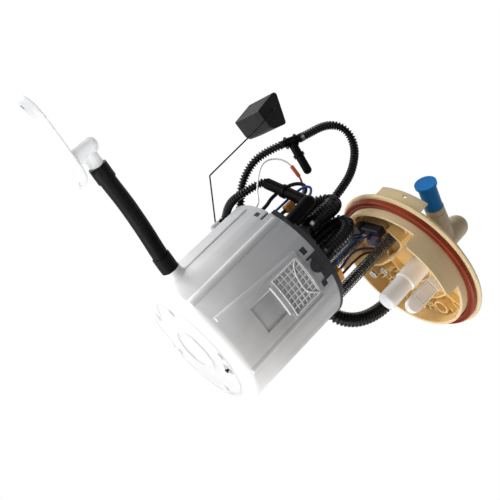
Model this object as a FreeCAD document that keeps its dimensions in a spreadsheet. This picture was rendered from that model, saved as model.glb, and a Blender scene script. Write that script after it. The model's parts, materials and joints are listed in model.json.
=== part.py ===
import FreeCAD, Part
import math, os, sys
import Sketcher

# Fuel pump module: a tank flange, a reservoir hung below it on two sprung guide rods,
# a remote strainer on a rubber hose, and a level sender with a float arm.
# Row frame: origin at the centre of the flange's seal face, +Z up out of the tank, mm.
# Reservoir pieces are drawn about the bucket's own axis and bottom, and placed as a group.

V = FreeCAD.Vector
os.makedirs("parts", exist_ok=True)
doc = FreeCAD.newDocument("FuelPumpModule")
sheet = doc.addObject("Spreadsheet::Sheet", "Sizes")

CELLS = [
    ("bucket_x", -79.5), ("bucket_z", -199.0), ("bucket_rad", 62.5), ("bucket_high", 112.0), ("bucket_wall", 2.2),
    ("bucket_floor", 2.5), ("bucket_edge", 10.0), ("lid_rad", 63.3), ("lid_thick", 2.5),
    ("rim_rad", 76.2), ("rim_thick", 4.0), ("skirt_out", 66.0), ("skirt_in", 63.5), ("skirt_deep", 12.0), ("tongue_deep", 26.0),
    ("crown_under", 6.5), ("crown_top", 9.5), ("seal_in", 66.3), ("seal_out", 72.8), ("seal_thick", 5.0),
    ("rod_rad", 3.5), ("rod_low", 93.0), ("rod_front_x", 51.5), ("rod_front_y", -19.5), ("rod_rear_x", 35.5), ("rod_rear_y", 33.0),
    ("spring_in", 3.75), ("spring_out", 5.25), ("lid_boss_top", 116.0), ("flange_boss_low", 199.0), ("boss_rad", 8.0),
    ("pump_x", -2.0), ("pump_y", -8.0), ("can_rad", 19.0), ("can_wall", 1.0), ("can_low", 14.0), ("can_top", 92.0),
    ("shaft_rad", 1.6), ("run_gap", 0.05), ("armature_rad", 12.0), ("impeller_rad", 15.5),
    ("canister_rad", 36.0), ("canister_low", 26.0), ("canister_top", 100.0),
    ("arm_high", 23.0), ("hose_rad", 6.8), ("hose_bore", 5.0), ("spigot_rad", 4.9),
    ("thick_hose_rad", 7.5), ("thin_hose_rad", 3.4), ("lower_hose_rad", 6.6),
    ("valve_x", 8.5), ("valve_y", -10.0), ("valve_small", 8.7), ("valve_big", 9.8), ("valve_low", -50.0), ("valve_step", -21.5),
    ("riser_rad", 10.8), ("pivot_x", -35.0), ("pivot_y", 70.0), ("pivot_z", 89.0), ("wire_rad", 0.75), ("float_long", 42.0),
]
VALUES = {}
for n, (alias, value) in enumerate(CELLS, start=2):
    sheet.set("A%d" % n, alias)
    sheet.set("B%d" % n, str(value))
    sheet.setAlias("B%d" % n, alias)
    VALUES[alias] = value
doc.recompute()


class Q:
    """A size: the sheet expression and its present value."""

    def __init__(self, text, value):
        self.text, self.value = text, value

    @staticmethod
    def of(x):
        return x if isinstance(x, Q) else Q("(%.6f)" % float(x), float(x))

    def __add__(self, o):
        o = Q.of(o)
        return Q("(%s + %s)" % (self.text, o.text), self.value + o.value)

    def __radd__(self, o):
        return Q.of(o) + self

    def __sub__(self, o):
        o = Q.of(o)
        return Q("(%s - %s)" % (self.text, o.text), self.value - o.value)

    def __rsub__(self, o):
        return Q.of(o) - self

    def __mul__(self, o):
        o = Q.of(o)
        return Q("(%s * %s)" % (self.text, o.text), self.value * o.value)

    __rmul__ = __mul__

    def __neg__(self):
        return Q("(0 - %s)" % self.text, -self.value)


def q(alias):
    return Q("Sizes.%s" % alias, VALUES[alias])


def val(x):
    return x.value if isinstance(x, Q) else float(x)


def bind(obj, prop, x):
    if isinstance(x, Q):
        obj.setExpression(prop, x.text)
    else:
        setattr(obj, prop, float(x))


def place(obj, at=(0, 0, 0), rot=None, axis=None):
    """Put obj at `at`; axis turns its +Z to that direction."""
    r = rot if rot is not None else (FreeCAD.Rotation(V(0, 0, 1), V(*[float(c) for c in axis])) if axis else FreeCAD.Rotation())
    obj.Placement = FreeCAD.Placement(V(*[val(c) for c in at]), r)
    for c, x in zip("xyz", at):
        if isinstance(x, Q):
            obj.setExpression("Placement.Base." + c, x.text)
    return obj


count = [0]


def nm(tag):
    count[0] += 1
    return "%s_%03d" % (tag, count[0])


def cyl(rad, high, at=(0, 0, 0), axis=None, angle=360, rot=None):
    o = doc.addObject("Part::Cylinder", nm("cyl"))
    bind(o, "Radius", rad)
    bind(o, "Height", high)
    o.Angle = angle
    return place(o, at, rot=rot, axis=axis)


def rod(a, b, rad):
    """A cylinder from point a to point b."""
    a, b = V(*a), V(*b)
    return cyl(rad, (b - a).Length, tuple(a), axis=tuple(b - a))


def cone(r1, r2, high, at=(0, 0, 0), axis=None):
    o = doc.addObject("Part::Cone", nm("cone"))
    bind(o, "Radius1", r1)
    bind(o, "Radius2", r2)
    bind(o, "Height", high)
    return place(o, at, axis=axis)


def ball(rad, at):
    o = doc.addObject("Part::Sphere", nm("ball"))
    bind(o, "Radius", rad)
    return place(o, at)


def box(lx, ly, lz, at, rot=None):
    o = doc.addObject("Part::Box", nm("box"))
    bind(o, "Length", lx)
    bind(o, "Width", ly)
    bind(o, "Height", lz)
    return place(o, at, rot=rot)


def zbox(lx, ly, lz, centre, turn=0):
    """A box centred in X and Y on centre, bottom at its z, turned about Z by `turn` degrees."""
    c, s = math.cos(math.radians(turn)), math.sin(math.radians(turn))
    hx, hy = val(lx) / 2, val(ly) / 2
    return box(lx, ly, lz, (centre[0] - c * hx + s * hy, centre[1] - s * hx - c * hy, centre[2]), rot=FreeCAD.Rotation(V(0, 0, 1), turn))


def fuse(*objs):
    o = doc.addObject("Part::MultiFuse", nm("fuse"))
    o.Shapes = list(objs)
    o.Refine = True
    return o


def cut(base, *tools):
    o = doc.addObject("Part::Cut", nm("cut"))
    o.Base = base
    o.Tool = tools[0] if len(tools) == 1 else fuse(*tools)
    o.Refine = True
    return o


def common(a, b):
    o = doc.addObject("Part::Common", nm("common"))
    o.Base = a
    o.Tool = b
    return o


def group(*objs):
    """Separate solids kept side by side in one piece."""
    o = doc.addObject("Part::Compound", nm("group"))
    o.Links = list(objs)
    return o


def rounded(base, rad, pick):
    doc.recompute()
    o = doc.addObject("Part::Fillet", nm("fillet"))
    o.Base = base
    edges = [(i + 1, float(rad), float(rad)) for i, e in enumerate(base.Shape.Edges) if pick(e)]
    assert edges, "no edge to round on " + base.Name
    o.Edges = edges
    return o


def ring(r_in, r_out, z0, high, at=(0, 0), a0=0, angle=360):
    """A ring or ring sector standing on z0."""
    rot = FreeCAD.Rotation(V(0, 0, 1), a0)
    outer = cyl(r_out, high, (at[0], at[1], z0), angle=angle, rot=rot)
    inner = cyl(r_in, high + 2 if not isinstance(high, Q) else high + 2, (at[0], at[1], z0 - 1), rot=FreeCAD.Rotation())
    return cut(outer, inner)


def plane_of(body, role):
    return [p for p in body.Origin.OriginFeatures if p.Role == role][0]


def sketch_on(body, role, points):
    """A closed outline whose corners are each held to the origin by a bound distance."""
    s = body.newObject("Sketcher::SketchObject", nm("sketch"))
    s.AttachmentSupport = [(plane_of(body, role), "")]
    s.MapMode = "FlatFace"
    num = [(val(a), val(b)) for a, b in points]
    n = len(num)
    for i in range(n):
        a, b = num[i], num[(i + 1) % n]
        s.addGeometry(Part.LineSegment(V(a[0], a[1], 0), V(b[0], b[1], 0)), False)
    for i in range(n):
        s.addConstraint(Sketcher.Constraint("Coincident", i, 2, (i + 1) % n, 1))
    for i in range(n):
        for kind, x, v in (("DistanceX", points[i][0], num[i][0]), ("DistanceY", points[i][1], num[i][1])):
            if abs(v) < 1e-9:
                s.addConstraint(Sketcher.Constraint("PointOnObject", i, 1, -2 if kind == "DistanceX" else -1))
                continue
            c = s.addConstraint(Sketcher.Constraint(kind, -1, 1, i, 1, v))
            if isinstance(x, Q):
                s.setExpression("Constraints[%d]" % c, x.text)
    return s


def revolve(points, at=None, angle=360):
    """A turned piece: outline in (radius, height) about Z."""
    b = doc.addObject("PartDesign::Body", nm("body"))
    s = sketch_on(b, "XZ_Plane", points)
    r = b.newObject("PartDesign::Revolution", nm("revolution"))
    r.Profile = s
    r.ReferenceAxis = (s, ["V_Axis"])
    r.Angle = angle
    b.Tip = r
    if at:
        place(b, at)
    return b


def prism(points, high, at=None):
    """A padded outline in XY."""
    b = doc.addObject("PartDesign::Body", nm("body"))
    s = sketch_on(b, "XY_Plane", points)
    p = b.newObject("PartDesign::Pad", nm("pad"))
    p.Profile = s
    bind(p, "Length", high)
    b.Tip = p
    if at:
        place(b, at)
    return b


RADII = {}


def spine(points, radius=None, tag=None):
    """Straight runs joined by tangent arcs, each as large as its two runs allow."""
    P = [V(*[float(c) for c in p]) for p in points]
    edges, at, radii = [], P[0], []
    for i in range(1, len(P) - 1):
        a, b = P[i - 1] - P[i], P[i + 1] - P[i]
        short = min(a.Length, b.Length)
        a.normalize()
        b.normalize()
        turn = math.pi - a.getAngle(b)
        rad = radius if radius else 0.45 * short / math.tan(turn / 2)
        d = rad * math.tan(turn / 2)
        p0, p1 = P[i] + a * d, P[i] + b * d
        mid_dir = a + b
        mid_dir.normalize()
        centre = P[i] + mid_dir * (rad / math.cos(turn / 2))
        mid = centre - mid_dir * rad
        edges.append(Part.LineSegment(at, p0).toShape())
        edges.append(Part.Arc(p0, mid, p1).toShape())
        at = p1
        radii.append(round(rad, 1))
    edges.append(Part.LineSegment(at, P[-1]).toShape())
    if tag:
        RADII[tag] = radii
    w = doc.addObject("Part::Feature", nm("spine"))
    w.Shape = Part.Wire(edges)
    return w


def tube(points, rad, radius=None, tag=None):
    """A round section carried along the spine."""
    w = spine(points, radius, tag)
    c = doc.addObject("Part::Circle", nm("section"))
    bind(c, "Radius", rad)
    a = V(*[float(x) for x in points[0]])
    d = V(*[float(x) for x in points[1]]) - a
    c.Placement = FreeCAD.Placement(a, FreeCAD.Rotation(V(0, 0, 1), d))
    s = doc.addObject("Part::Sweep", nm("sweep"))
    s.Sections = [c]
    s.Spine = (w, ["Edge%d" % (i + 1) for i in range(len(w.Shape.Edges))])
    s.Solid = True
    s.Frenet = False
    doc.recompute()
    want = math.pi * val(rad) ** 2 * w.Shape.Length
    got = s.Shape.Volume
    assert abs(got - want) < 0.02 * want, "tube volume %s %.1f %.1f" % (tag, got, want)
    return s


NODES = []


def node(name, obj, bucket=True):
    """Names a finished piece and puts it in the row frame."""
    obj.Label = name
    if bucket:
        p = obj.Placement
        obj.Placement = FreeCAD.Placement(p.Base + V(VALUES["bucket_x"], 0, VALUES["bucket_z"]), p.Rotation)
        if not [e for e in obj.ExpressionEngine if e[0].startswith("Placement")]:
            for c, cell, off in (("x", "bucket_x", p.Base.x), ("y", None, p.Base.y), ("z", "bucket_z", p.Base.z)):
                if cell:
                    obj.setExpression("Placement.Base." + c, "Sizes.%s + %.6f" % (cell, off))
        else:
            for c, cell in (("x", "bucket_x"), ("z", "bucket_z")):
                old = [e[1] for e in obj.ExpressionEngine if e[0] == "Placement.Base." + c]
                off = old[0] if old else "%.6f" % getattr(p.Base, c)
                obj.setExpression("Placement.Base." + c, "Sizes.%s + %s" % (cell, off))
    NODES.append((name, obj))
    return obj


def pol(r, az, z=0.0):
    return (r * math.cos(math.radians(az)), r * math.sin(math.radians(az)), z)


# ---------------------------------------------------------------- flange, drawn in the row frame
crown = revolve([(0, q("crown_under")), (q("skirt_in"), q("crown_under")), (q("skirt_in"), 0),
                 (q("rim_rad") - 2.0, 0), (q("rim_rad") - 0.6, 0.6), (q("rim_rad"), 1.6), (q("rim_rad"), q("rim_thick") - 1.6), (q("rim_rad") - 0.6, q("rim_thick") - 0.6),
                 (q("rim_rad") - 2.0, q("rim_thick")), (69.5, q("rim_thick")), (66.5, q("crown_top")), (0, q("crown_top"))])
# deep front tongue and two rear fingers of the skirt
tongue_ring = cut(cyl(q("skirt_out"), q("tongue_deep") - q("skirt_deep") + 2, (0, 0, -q("tongue_deep")), angle=52, rot=FreeCAD.Rotation(V(0, 0, 1), -109)),
                  cyl(q("skirt_in"), 40, (0, 0, -40)))
tongue = rounded(tongue_ring, 5.0, lambda e: abs(e.BoundBox.ZMin + VALUES["tongue_deep"]) < 1e-3 and e.BoundBox.ZLength < 1e-3 and e.Length < 4)
finger_a = cut(cyl(q("skirt_out"), 16, (0, 0, -25), angle=7.5, rot=FreeCAD.Rotation(V(0, 0, 1), 117)), cyl(q("skirt_in"), 40, (0, 0, -40)))
finger_b = cut(cyl(q("skirt_out"), 16, (0, 0, -25), angle=7.5, rot=FreeCAD.Rotation(V(0, 0, 1), 128.5)), cyl(q("skirt_in"), 40, (0, 0, -40)))
# ribs under the crown: spokes, two rings and the crossing pair at the right
ribs = []
for az in (-150, -128, -38, -12, 40, 66, 92, 150, 176):
    ribs.append(box(39, 1.4, 6.5, pol(24.5, az, 0.0)[:2] + (0.3,), rot=FreeCAD.Rotation(V(0, 0, 1), az)))
ribs.append(ring(23.0, 24.8, 0.3, 6.5))
ribs.append(ring(43.2, 44.8, 0.3, 6.5, a0=-60, angle=110))
ribs.append(ring(5.6, 7.4, -2.0, 8.8, at=(53.0, 12.0)))
ribs.append(zbox(26, 1.4, 6.5, (42.0, 30.0, 0.3), 60))
ribs.append(zbox(26, 1.4, 6.5, (42.0, 30.0, 0.3), -50))
# bosses that take the two guide rods, and the pads for the plugs and the screw
boss_f = ring(q("rod_rad"), q("boss_rad"), 0.0, 7.0, at=(q("rod_front_x") + q("bucket_x"), q("rod_front_y")))
boss_r = ring(q("rod_rad"), q("boss_rad"), 0.0, 7.0, at=(q("rod_rear_x") + q("bucket_x"), q("rod_rear_y")))
screw_pad = cyl(4.6, 16.0, (-8.7, 46.7, -9.5))
conn_pad = fuse(zbox(23, 10, 8.5, (-43.0, -5.0, -1.5), -56), zbox(11, 9, 8.5, (-52.0, 9.0, -1.5), -75))
# curved tab standing on the rim, with its small square window
tab = cut(cyl(74.3, 12.3, (0, 0, 3.0), angle=38, rot=FreeCAD.Rotation(V(0, 0, 1), -153)), cyl(72.5, 20, (0, 0, 0)),
          box(8, 4.0, 2.6, pol(70.0, -132.5)[:2] + (9.6,), rot=FreeCAD.Rotation(V(0, 0, 1), -132.5)))
# harness socket shroud and supply nipple on the hidden top side
shroud = cut(zbox(34, 20, 17, (14, 40, 8.5)), zbox(30.4, 16.4, 17, (14, 40, 12.0)))
nipple = cut(cyl(3.95, 25.0, (-22, 38, 8.5)), cyl(2.2, 26, (-22, 38, 11.0)))
collar = ring(2.2, 5.2, 9.0, 3.0, at=(-22, 38))
bores = [cyl(q("rod_rad"), 10.0, (q("rod_front_x") + q("bucket_x"), q("rod_front_y"), -2.0)),
         cyl(q("rod_rad"), 10.0, (q("rod_rear_x") + q("bucket_x"), q("rod_rear_y"), -2.0)),
         cyl(5.0, 8.0, (q("valve_x"), q("valve_y"), 4.0)), cyl(1.25, 5.5, (-8.7, 46.7, -10.0)), cyl(1.25, 5.5, (-5.3, 31.5, -7.0))]
fence = prism([(-37.0, -29.5), (-21.0, -31.0), (-16.0, -26.0), (-13.5, -14.0), (-11.0, 4.0), (-11.5, 24.0), (-14.5, 37.0),
               (-16.5, 36.4), (-13.5, 23.6), (-13.0, 4.2), (-15.5, -13.4), (-17.8, -25.0), (-21.8, -29.0), (-37.0, -27.5)], 15.5, at=(0, 0, -9.0))
nub_pad = cyl(4.4, 13.0, (-5.3, 31.5, -6.5))
flange = fuse(crown, fence, nub_pad, *ribs, boss_f, boss_r, screw_pad, conn_pad, tab, shroud, nipple, collar)
skirt = fuse(ring(q("skirt_in"), q("skirt_out"), -q("skirt_deep"), q("skirt_deep")), tongue, finger_a, finger_b)
clear = [cyl(q("valve_big"), 14, (q("valve_x"), q("valve_y"), -7.5)), zbox(15.0, 8.0, 14, (29.0, -6.0, -7.5), 0), cyl(7.5, 14.0, (17.5, 34.0, -7.5)),
         cyl(1.7, 9.0, (-26.5, 9.0, -2.5)), cyl(1.5, 9.0, (-21.5, 12.0, -2.5))]
node("flange_plate", cut(flange, *bores, *clear), bucket=False)
node("flange_skirt", skirt, bucket=False)

seal = revolve([(q("seal_in"), -1.6), (q("seal_in") + 0.8, -q("seal_thick")), (68.2, -q("seal_thick")), (68.9, -3.6), (70.6, -3.6), (71.3, -q("seal_thick")),
                (q("seal_out") - 0.9, -q("seal_thick")), (q("seal_out"), -q("seal_thick") + 0.9), (q("seal_out"), 0), (q("seal_in"), 0)])
node("flange_seal", seal, bucket=False)

# vent housing: domed riser over the valve, with a conical spigot towards the front left
SP = V(-0.796, -0.605, 0.0)
SP.normalize()
SP = (SP.x, SP.y, 0.0)
CAPAT = [(9.0 + SP[0] * d, -10.0 + SP[1] * d, 38.7) for d in (0, 9, 31.5, 33.5, 36.0, 38.7, 62)]
riser = fuse(cyl(q("riser_rad"), 46.0, (9.0, -10.0, 9.5)), ball(q("riser_rad"), (9.0, -10.0, 55.5)), cone(14.0, 10.8, 5.0, (9.0, -10.0, 9.5)),
             cone(10.2, 8.8, 32.5, CAPAT[0], axis=SP), cyl(8.1, 3.0, CAPAT[2], axis=SP), cyl(8.8, 4.6, CAPAT[3], axis=SP), cyl(6.6, 25.0, CAPAT[4], axis=SP))
node("vent_housing", cut(riser, cyl(8.6, 46, (9.0, -10.0, 9.0)), cyl(4.6, 60, (9.0 + SP[0] * 6, -10.0 + SP[1] * 6, 38.7), axis=SP)), bucket=False)
cap = fuse(cyl(8.2, 23.6, CAPAT[5], axis=SP), cone(8.2, 10.0, 1.2, tuple(CAPAT[5][i] + SP[i] * 23.5 for i in range(3)), axis=SP),
           cyl(10.0, 2.4, tuple(CAPAT[5][i] + SP[i] * 24.6 for i in range(3)), axis=SP))
node("transit_cap", cut(cap, cyl(6.9, 24.2, tuple(CAPAT[5][i] - SP[i] * 0.1 for i in range(3)), axis=SP)), bucket=False)

# vent valve below the flange: stepped shell with a closed round end, float on a light spring, slots on the side away from the bucket
vx, vy = q("valve_x"), q("valve_y")
shell = revolve([(2.5, -24.0), (6.8, -26.0), (6.8, -48.5), (0.0, -48.5), (0.0, q("valve_low")), (q("valve_small") - 2.4, q("valve_low")),
                 (q("valve_small") - 0.7, q("valve_low") + 0.7), (q("valve_small"), q("valve_low") + 2.4), (q("valve_small"), q("valve_step") - 1.5), (q("valve_big"), q("valve_step")),
                 (q("valve_big"), q("crown_under")), (5.0, q("crown_under")), (5.0, 9.0), (2.5, 9.0)], at=(vx, vy, 0))
slots = [box(6, 2.0, 9.0, (VALUES["valve_x"] + 5 * math.cos(math.radians(a)), VALUES["valve_y"] + 5 * math.sin(math.radians(a)), -44.0), rot=FreeCAD.Rotation(V(0, 0, 1), a)) for a in (20, 90, 160)]
node("vent_valve_body", cut(shell, *slots), bucket=False)
node("vent_float", fuse(cyl(6.5, 13.0, (vx, vy, -44.0)), cone(2.2, 1.2, 3.0, (vx, vy, -31.0))), bucket=False)
node("vent_float_spring", ring(3.4, 5.0, -48.5, 4.5, at=(vx, vy)), bucket=False)
side = fuse(zbox(14.0, 7.0, 36.0, (29.0, -6.0, -29.5)), cyl(7.0, 7.0, (29.0, -2.5, -29.5), axis=(0, -1, 0)), zbox(15.0, 8.0, 10.0, (29.0, -6.0, -3.5)))
node("vent_side_chamber", cut(side, zbox(11.0, 4.2, 32.0, (29.0, -6.0, -28.0))), bucket=False)

# guide rods pressed into the flange, clips at their lower ends, springs round them
fx, fy, rx, ry = q("rod_front_x"), q("rod_front_y"), q("rod_rear_x"), q("rod_rear_y")
rod_len = Q.of(206.0) - q("rod_low")
node("guide_rods", group(cyl(q("rod_rad"), rod_len, (fx, fy, q("rod_low"))), cyl(q("rod_rad"), rod_len, (rx, ry, q("rod_low")))))
clips = []
for x, y in ((fx, fy), (rx, ry)):
    clips.append(ring(q("rod_rad"), 4.6, 95.0, 1.2, at=(x, y)))
node("rod_clips", group(*clips))
spring_len = q("flange_boss_low") - q("lid_boss_top")
node("guide_springs", group(ring(q("spring_in"), q("spring_out"), q("lid_boss_top"), spring_len, at=(fx, fy)),
                            ring(q("spring_in"), q("spring_out"), q("lid_boss_top"), spring_len, at=(rx, ry))))

# plugs, pins, screw and the hose rail under the flange
node("harness_plug", group(rounded(zbox(21.0, 8.0, 9.0, (-43.0, -5.0, -10.5), -56), 0.8, lambda e: e.Length > 5), rounded(zbox(10.0, 8.0, 10.5, (-52.0, 9.0, -12.0), -75), 0.8, lambda e: e.Length > 5)), bucket=False)
node("signal_plug", rounded(zbox(13.0, 7.0, 6.5, (-36.0, -6.0, -17.0), -56), 0.7, lambda e: e.Length > 5), bucket=False)
pins = [zbox(1.2, 1.2, 10.0, (14 + dx, 40 + dy, 12.0)) for dx in (-9, -3, 3, 9) for dy in (-3, 3)]
node("socket_pins", group(*pins), bucket=False)
screws = []
for sx, sy, low in ((-8.7, 46.7, -9.5), (-5.3, 31.5, -6.5)):
    head = rounded(cut(cyl(4.2, 2.6, (sx, sy, low - 2.6)), zbox(5.5, 1.0, 1.2, (sx, sy, low - 3.0))), 0.6, lambda e, low=low: e.Length > 20 and e.BoundBox.ZMax < low - 2.5)
    screws.append(fuse(cyl(1.2, 5.0, (sx, sy, low - 0.3)), head))
node("ground_screw", group(*screws), bucket=False)

# ---------------------------------------------------------------- reservoir, drawn about the bucket axis
outer = rounded(cyl(q("bucket_rad"), q("bucket_high")), VALUES["bucket_edge"], lambda e: e.BoundBox.ZMax < 1e-3 and e.Length > 50)
inner = rounded(cyl(q("bucket_rad") - q("bucket_wall"), q("bucket_high"), (0, 0, q("bucket_floor"))), 8.0, lambda e: abs(e.BoundBox.ZMax - VALUES["bucket_floor"]) < 1e-3 and e.Length > 50)
D = (-math.cos(math.radians(27)), -math.sin(math.radians(27)), 0.0)
AH = VALUES["arm_high"]


def arm(t, z=None, side=0.0):
    """A point of the strainer arm: t along it from the bucket axis, side to its left."""
    return (D[0] * t - D[1] * -side, D[1] * t + D[0] * -side, AH if z is None else z)


ridge_a = rod(pol(59.5, -118.8, 8.0), pol(59.5, -120.4, 109.5), 5.0)
ridge_b = rod(pol(60.4, -97.2, 12.0), pol(60.4, -90.6, 98.0), 3.4)
ridge_c = rod(pol(60.5, -50.6, 95.0), pol(60.5, -48.4, 9.0), 3.4)
ridge_d = rod(pol(60.9, -151.0, 106.0), pol(60.9, -149.0, 30.0), 2.6)
frame_out = fuse(ring(61.0, 63.7, 63.5, 33.0, a0=-91.0, angle=37.5), ring(61.0, 63.5, 60.6, 4.0, a0=-86.5, angle=26.0))
stub = fuse(cyl(8.3, 9.0, arm(59.9), axis=D), cone(11.5, 8.3, 4.5, arm(60.0), axis=D))
stub_spigot = cyl(q("spigot_rad"), 20.0, arm(60.0), axis=D)
feet = [cyl(4.0, 2.5, pol(44.0, a, -1.5)) for a in (20, 100, 160, 215, 290)]
bottom_ring = ring(20.0, 22.0, -1.2, 2.0, at=(28 - 28, -32 + 32))
drain_boss = fuse(rod(pol(61.5, 160.0, 97.0), pol(67.2, 160.0, 97.0), 3.0), cyl(4.2, 8.0, pol(67.2, 160.0, 93.0)))
shell = cut(fuse(outer, ridge_a, ridge_b, ridge_c, ridge_d, frame_out, stub, stub_spigot, *feet, bottom_ring, drain_boss), inner)
window = cyl(70, 28.0, (0, 0, 66.0), angle=32.5, rot=FreeCAD.Rotation(V(0, 0, 1), -88.5))
flat = ring(61.3, 66.0, 37.5, 22.9, a0=-85.2, angle=22.8)


def radial_box(az, z, wide, high, r0=56.0, deep=9.0):
    c, s = math.cos(math.radians(az)), math.sin(math.radians(az))
    return box(deep, wide, high, (r0 * c + s * wide / 2, r0 * s - c * wide / 2, z), rot=FreeCAD.Rotation(V(0, 0, 1), az))


snaps = [(-88.0, 101.4, 6.0, 5.2), (-58.0, 99.7, 6.0, 5.2), (-136.0, 103.0, 5.0, 4.6), (100.0, 101.0, 6.0, 5.2), (175.0, 101.0, 6.0, 5.2), (20.0, 101.0, 6.0, 5.2)]
holes = [radial_box(*s) for s in snaps]
holes.append(radial_box(-129.5, 102.5, 2.4, 20.0))
holes.append(cyl(4.9 - 1.4, 40.0, arm(54.0), axis=D))
# seat of the inlet check valve: a ring of ports round a guided stem
VX, VY = 28.0, -32.0
seat = [cyl(1.9, 8.0, (VX + 3.9 * math.cos(math.radians(a)), VY + 3.9 * math.sin(math.radians(a)), -3.0)) for a in range(0, 360, 60)]
holes += seat + [cyl(1.05, 8.0, (VX, VY, -3.0))]

node("reservoir_bucket", cut(shell, window, flat, *holes))

# framed grid in the side window, with its mesh behind it
grid = [ring(60.9, 62.6, 66.1, 27.8, a0=-88.4 + i * (32.3 - 0.9) / 7.0, angle=0.9) for i in range(8)]
grid += [ring(60.9, 62.6, 66.1 + i * (27.8 - 1.0) / 6.0, 1.0, a0=-88.4, angle=32.3) for i in range(7)]
node("side_filter_grid", fuse(*grid))
node("side_filter_mesh", ring(60.45, 60.9, 66.1, 27.8, a0=-88.4, angle=32.3))

# lid: rim over the bucket's edge, plug ring inside it, port housing, rod bosses, hose ports and snap tabs
lid_z = VALUES["bucket_high"]
disc = rounded(cyl(q("lid_rad"), q("lid_thick"), (0, 0, q("bucket_high"))), 0.8, lambda e: e.BoundBox.ZMin > lid_z + 2.0 and e.Length > 50)
lip = fuse(ring(62.5, 63.4, 104.6, 9.0, a0=-82.3, angle=22.8), ring(62.5, 63.3, 100.2, 6.0, a0=-82.3, angle=1.5), ring(62.5, 63.3, 100.2, 6.0, a0=-61.0, angle=1.5))
rim_up = cut(ring(60.6, q("lid_rad"), 113.5, 2.8, a0=-127.0, angle=92.0), rod((-20.5, -53.5, 112.0), (-21.0, -53.1, 119.0), 7.6))
step_out = ring(56.0, 70.0, 112.0, 6.0, a0=172.0, angle=61.0)
step_in = ring(54.5, 60.2, 109.6, 2.4, a0=170.5, angle=64.0)
plug = ring(57.6, 59.6, 98.0, 15.0)
housing = rounded(zbox(20.0, 19.0, 9.5, (-3.5, -44.5, 113.0), 0), 2.5, lambda e: e.BoundBox.ZMin > 115 or e.BoundBox.ZLength > 8)
T1_AT = V(-57.5, 13.0, 117.5)
T1_DIR = V(-6.0, -2.5, 7.0)
T1_DIR.normalize()
T1_FOOT = T1_AT - T1_DIR * 4.5
ports = [cyl(7.2, 12.0, (-7.6, -43.0, 114.0)), cyl(8.5, 4.0, (16.5, -46.5, 114.0)), cyl(8.6, 5.0, (-20.0, -26.0, 114.0)), cyl(8.6, 9.0, (4.8, -29.0, 114.0)),
         cyl(7.4, 4.0, (22.0, 48.0, 114.0)), rod(tuple(T1_FOOT), tuple(T1_AT), 4.2), cyl(5.0, 2.5, (T1_FOOT.x, T1_FOOT.y, 112.8)),
         cyl(4.2, 4.0, (-2.0, 10.0, 114.0)), cyl(8.0, 2.5, (-20.0, -52.5, 112.0))]
tabs = []
for az, z, w, h in snaps:
    tabs.append(radial_box(az, z + 0.3, w - 0.6, h - 0.6, r0=58.8, deep=3.4))
half_tab = common(cyl(6.2, 1.6, pol(62.5, -73.3, 105.0), axis=pol(1.0, -73.3)), cyl(80, 8.0, (0, 0, 97.5)))
ribs_lid = [zbox(2.0, 30.0, 5.0, (26.0, 8.0, 114.0), 25), zbox(2.0, 30.0, 5.0, (-34.0, 10.0, 114.0), -35), zbox(46.0, 2.0, 5.0, (-6.0, 30.0, 114.0), 5)]

bosses = [cyl(6.2, 4.0, (fx, fy, 112.0)), cyl(6.2, 4.0, (rx, ry, 112.0)),
          common(fuse(cyl(6.2, 11.0, (fx, fy, 102.0)), cyl(6.2, 11.0, (rx, ry, 102.0))), cyl(60.0, 10.1, (0, 0, 102.0)))]
whole = fuse(cut(fuse(disc, plug), step_out), step_in, lip, rim_up, housing, half_tab, *ports, *tabs, *bosses, *ribs_lid)
bore_gap = q("rod_rad") + q("run_gap")
rodholes = [cyl(bore_gap, 30.0, (fx, fy, 97.0)), cyl(bore_gap, 30.0, (rx, ry, 97.0))]


whole = cut(whole, *rodholes)
below = cyl(62.45, 15.0, (0, 0, 97.0))
node("reservoir_lid", group(cut(whole, below), common(whole, below)))

# tower and its level arm
tower = fuse(rod((-20.5, -53.5, 114.5), (-22.6, -52.0, 142.0), 6.6), ball(6.6, (-22.6, -52.0, 142.0)), rod((-22.6, -52.0, 142.0), (-30.5, -46.0, 142.0), 5.2))
LD = V(-28.6, 22.0, -1.8)
LD.normalize()
AX = [V(-30.5, -46.0, 142.0) + LD * d for d in (0.0, 14.0, 18.0, 36.0)]
node("lid_tower", cut(tower, cyl(20.0, 6.0, (-20.0, -55.0, 108.5)), rod(tuple(AX[0]), tuple(AX[1]), 6.0)))
node("crossover_arm", fuse(rod(tuple(AX[0]), tuple(AX[3]), 4.9), rod(tuple(AX[1]), tuple(AX[2]), 6.0)))

# hoses on the lid
HA = [(-7.6, -43.0, 126.0), (-7.6, -43.0, 138.0), (-7.2, -43.0, 149.0), (-6.2, -41.5, 160.0), (-7.0, -36.0, 166.5), (-12.5, -29.5, 164.5), (-17.5, -26.0, 156.0), (-19.5, -26.0, 145.0), (-20.0, -26.0, 132.0), (-20.0, -26.0, 119.0)]
HB = [(16.5, -46.5, 118.0), (16.5, -46.5, 131.0), (17.2, -46.0, 144.0), (15.5, -42.5, 156.0), (11.0, -37.0, 161.0), (7.0, -32.0, 155.0), (5.2, -29.5, 144.0), (4.8, -29.0, 135.0), (4.8, -29.0, 123.0)]
node("thick_hose_left", tube(HA, q("thick_hose_rad"), tag="thick_hose_left"))
node("thick_hose_right", tube(HB, q("thick_hose_rad"), tag="thick_hose_right"))
T1 = [tuple(T1_AT), (-63.5, 10.5, 124.5), (-72.0, 6.0, 131.5), (-78.8, 2.0, 143.0), (-82.6, -3.0, 157.5), (-79.8, -7.0, 173.5), (-75.0, -10.0, 186.0)]

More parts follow.
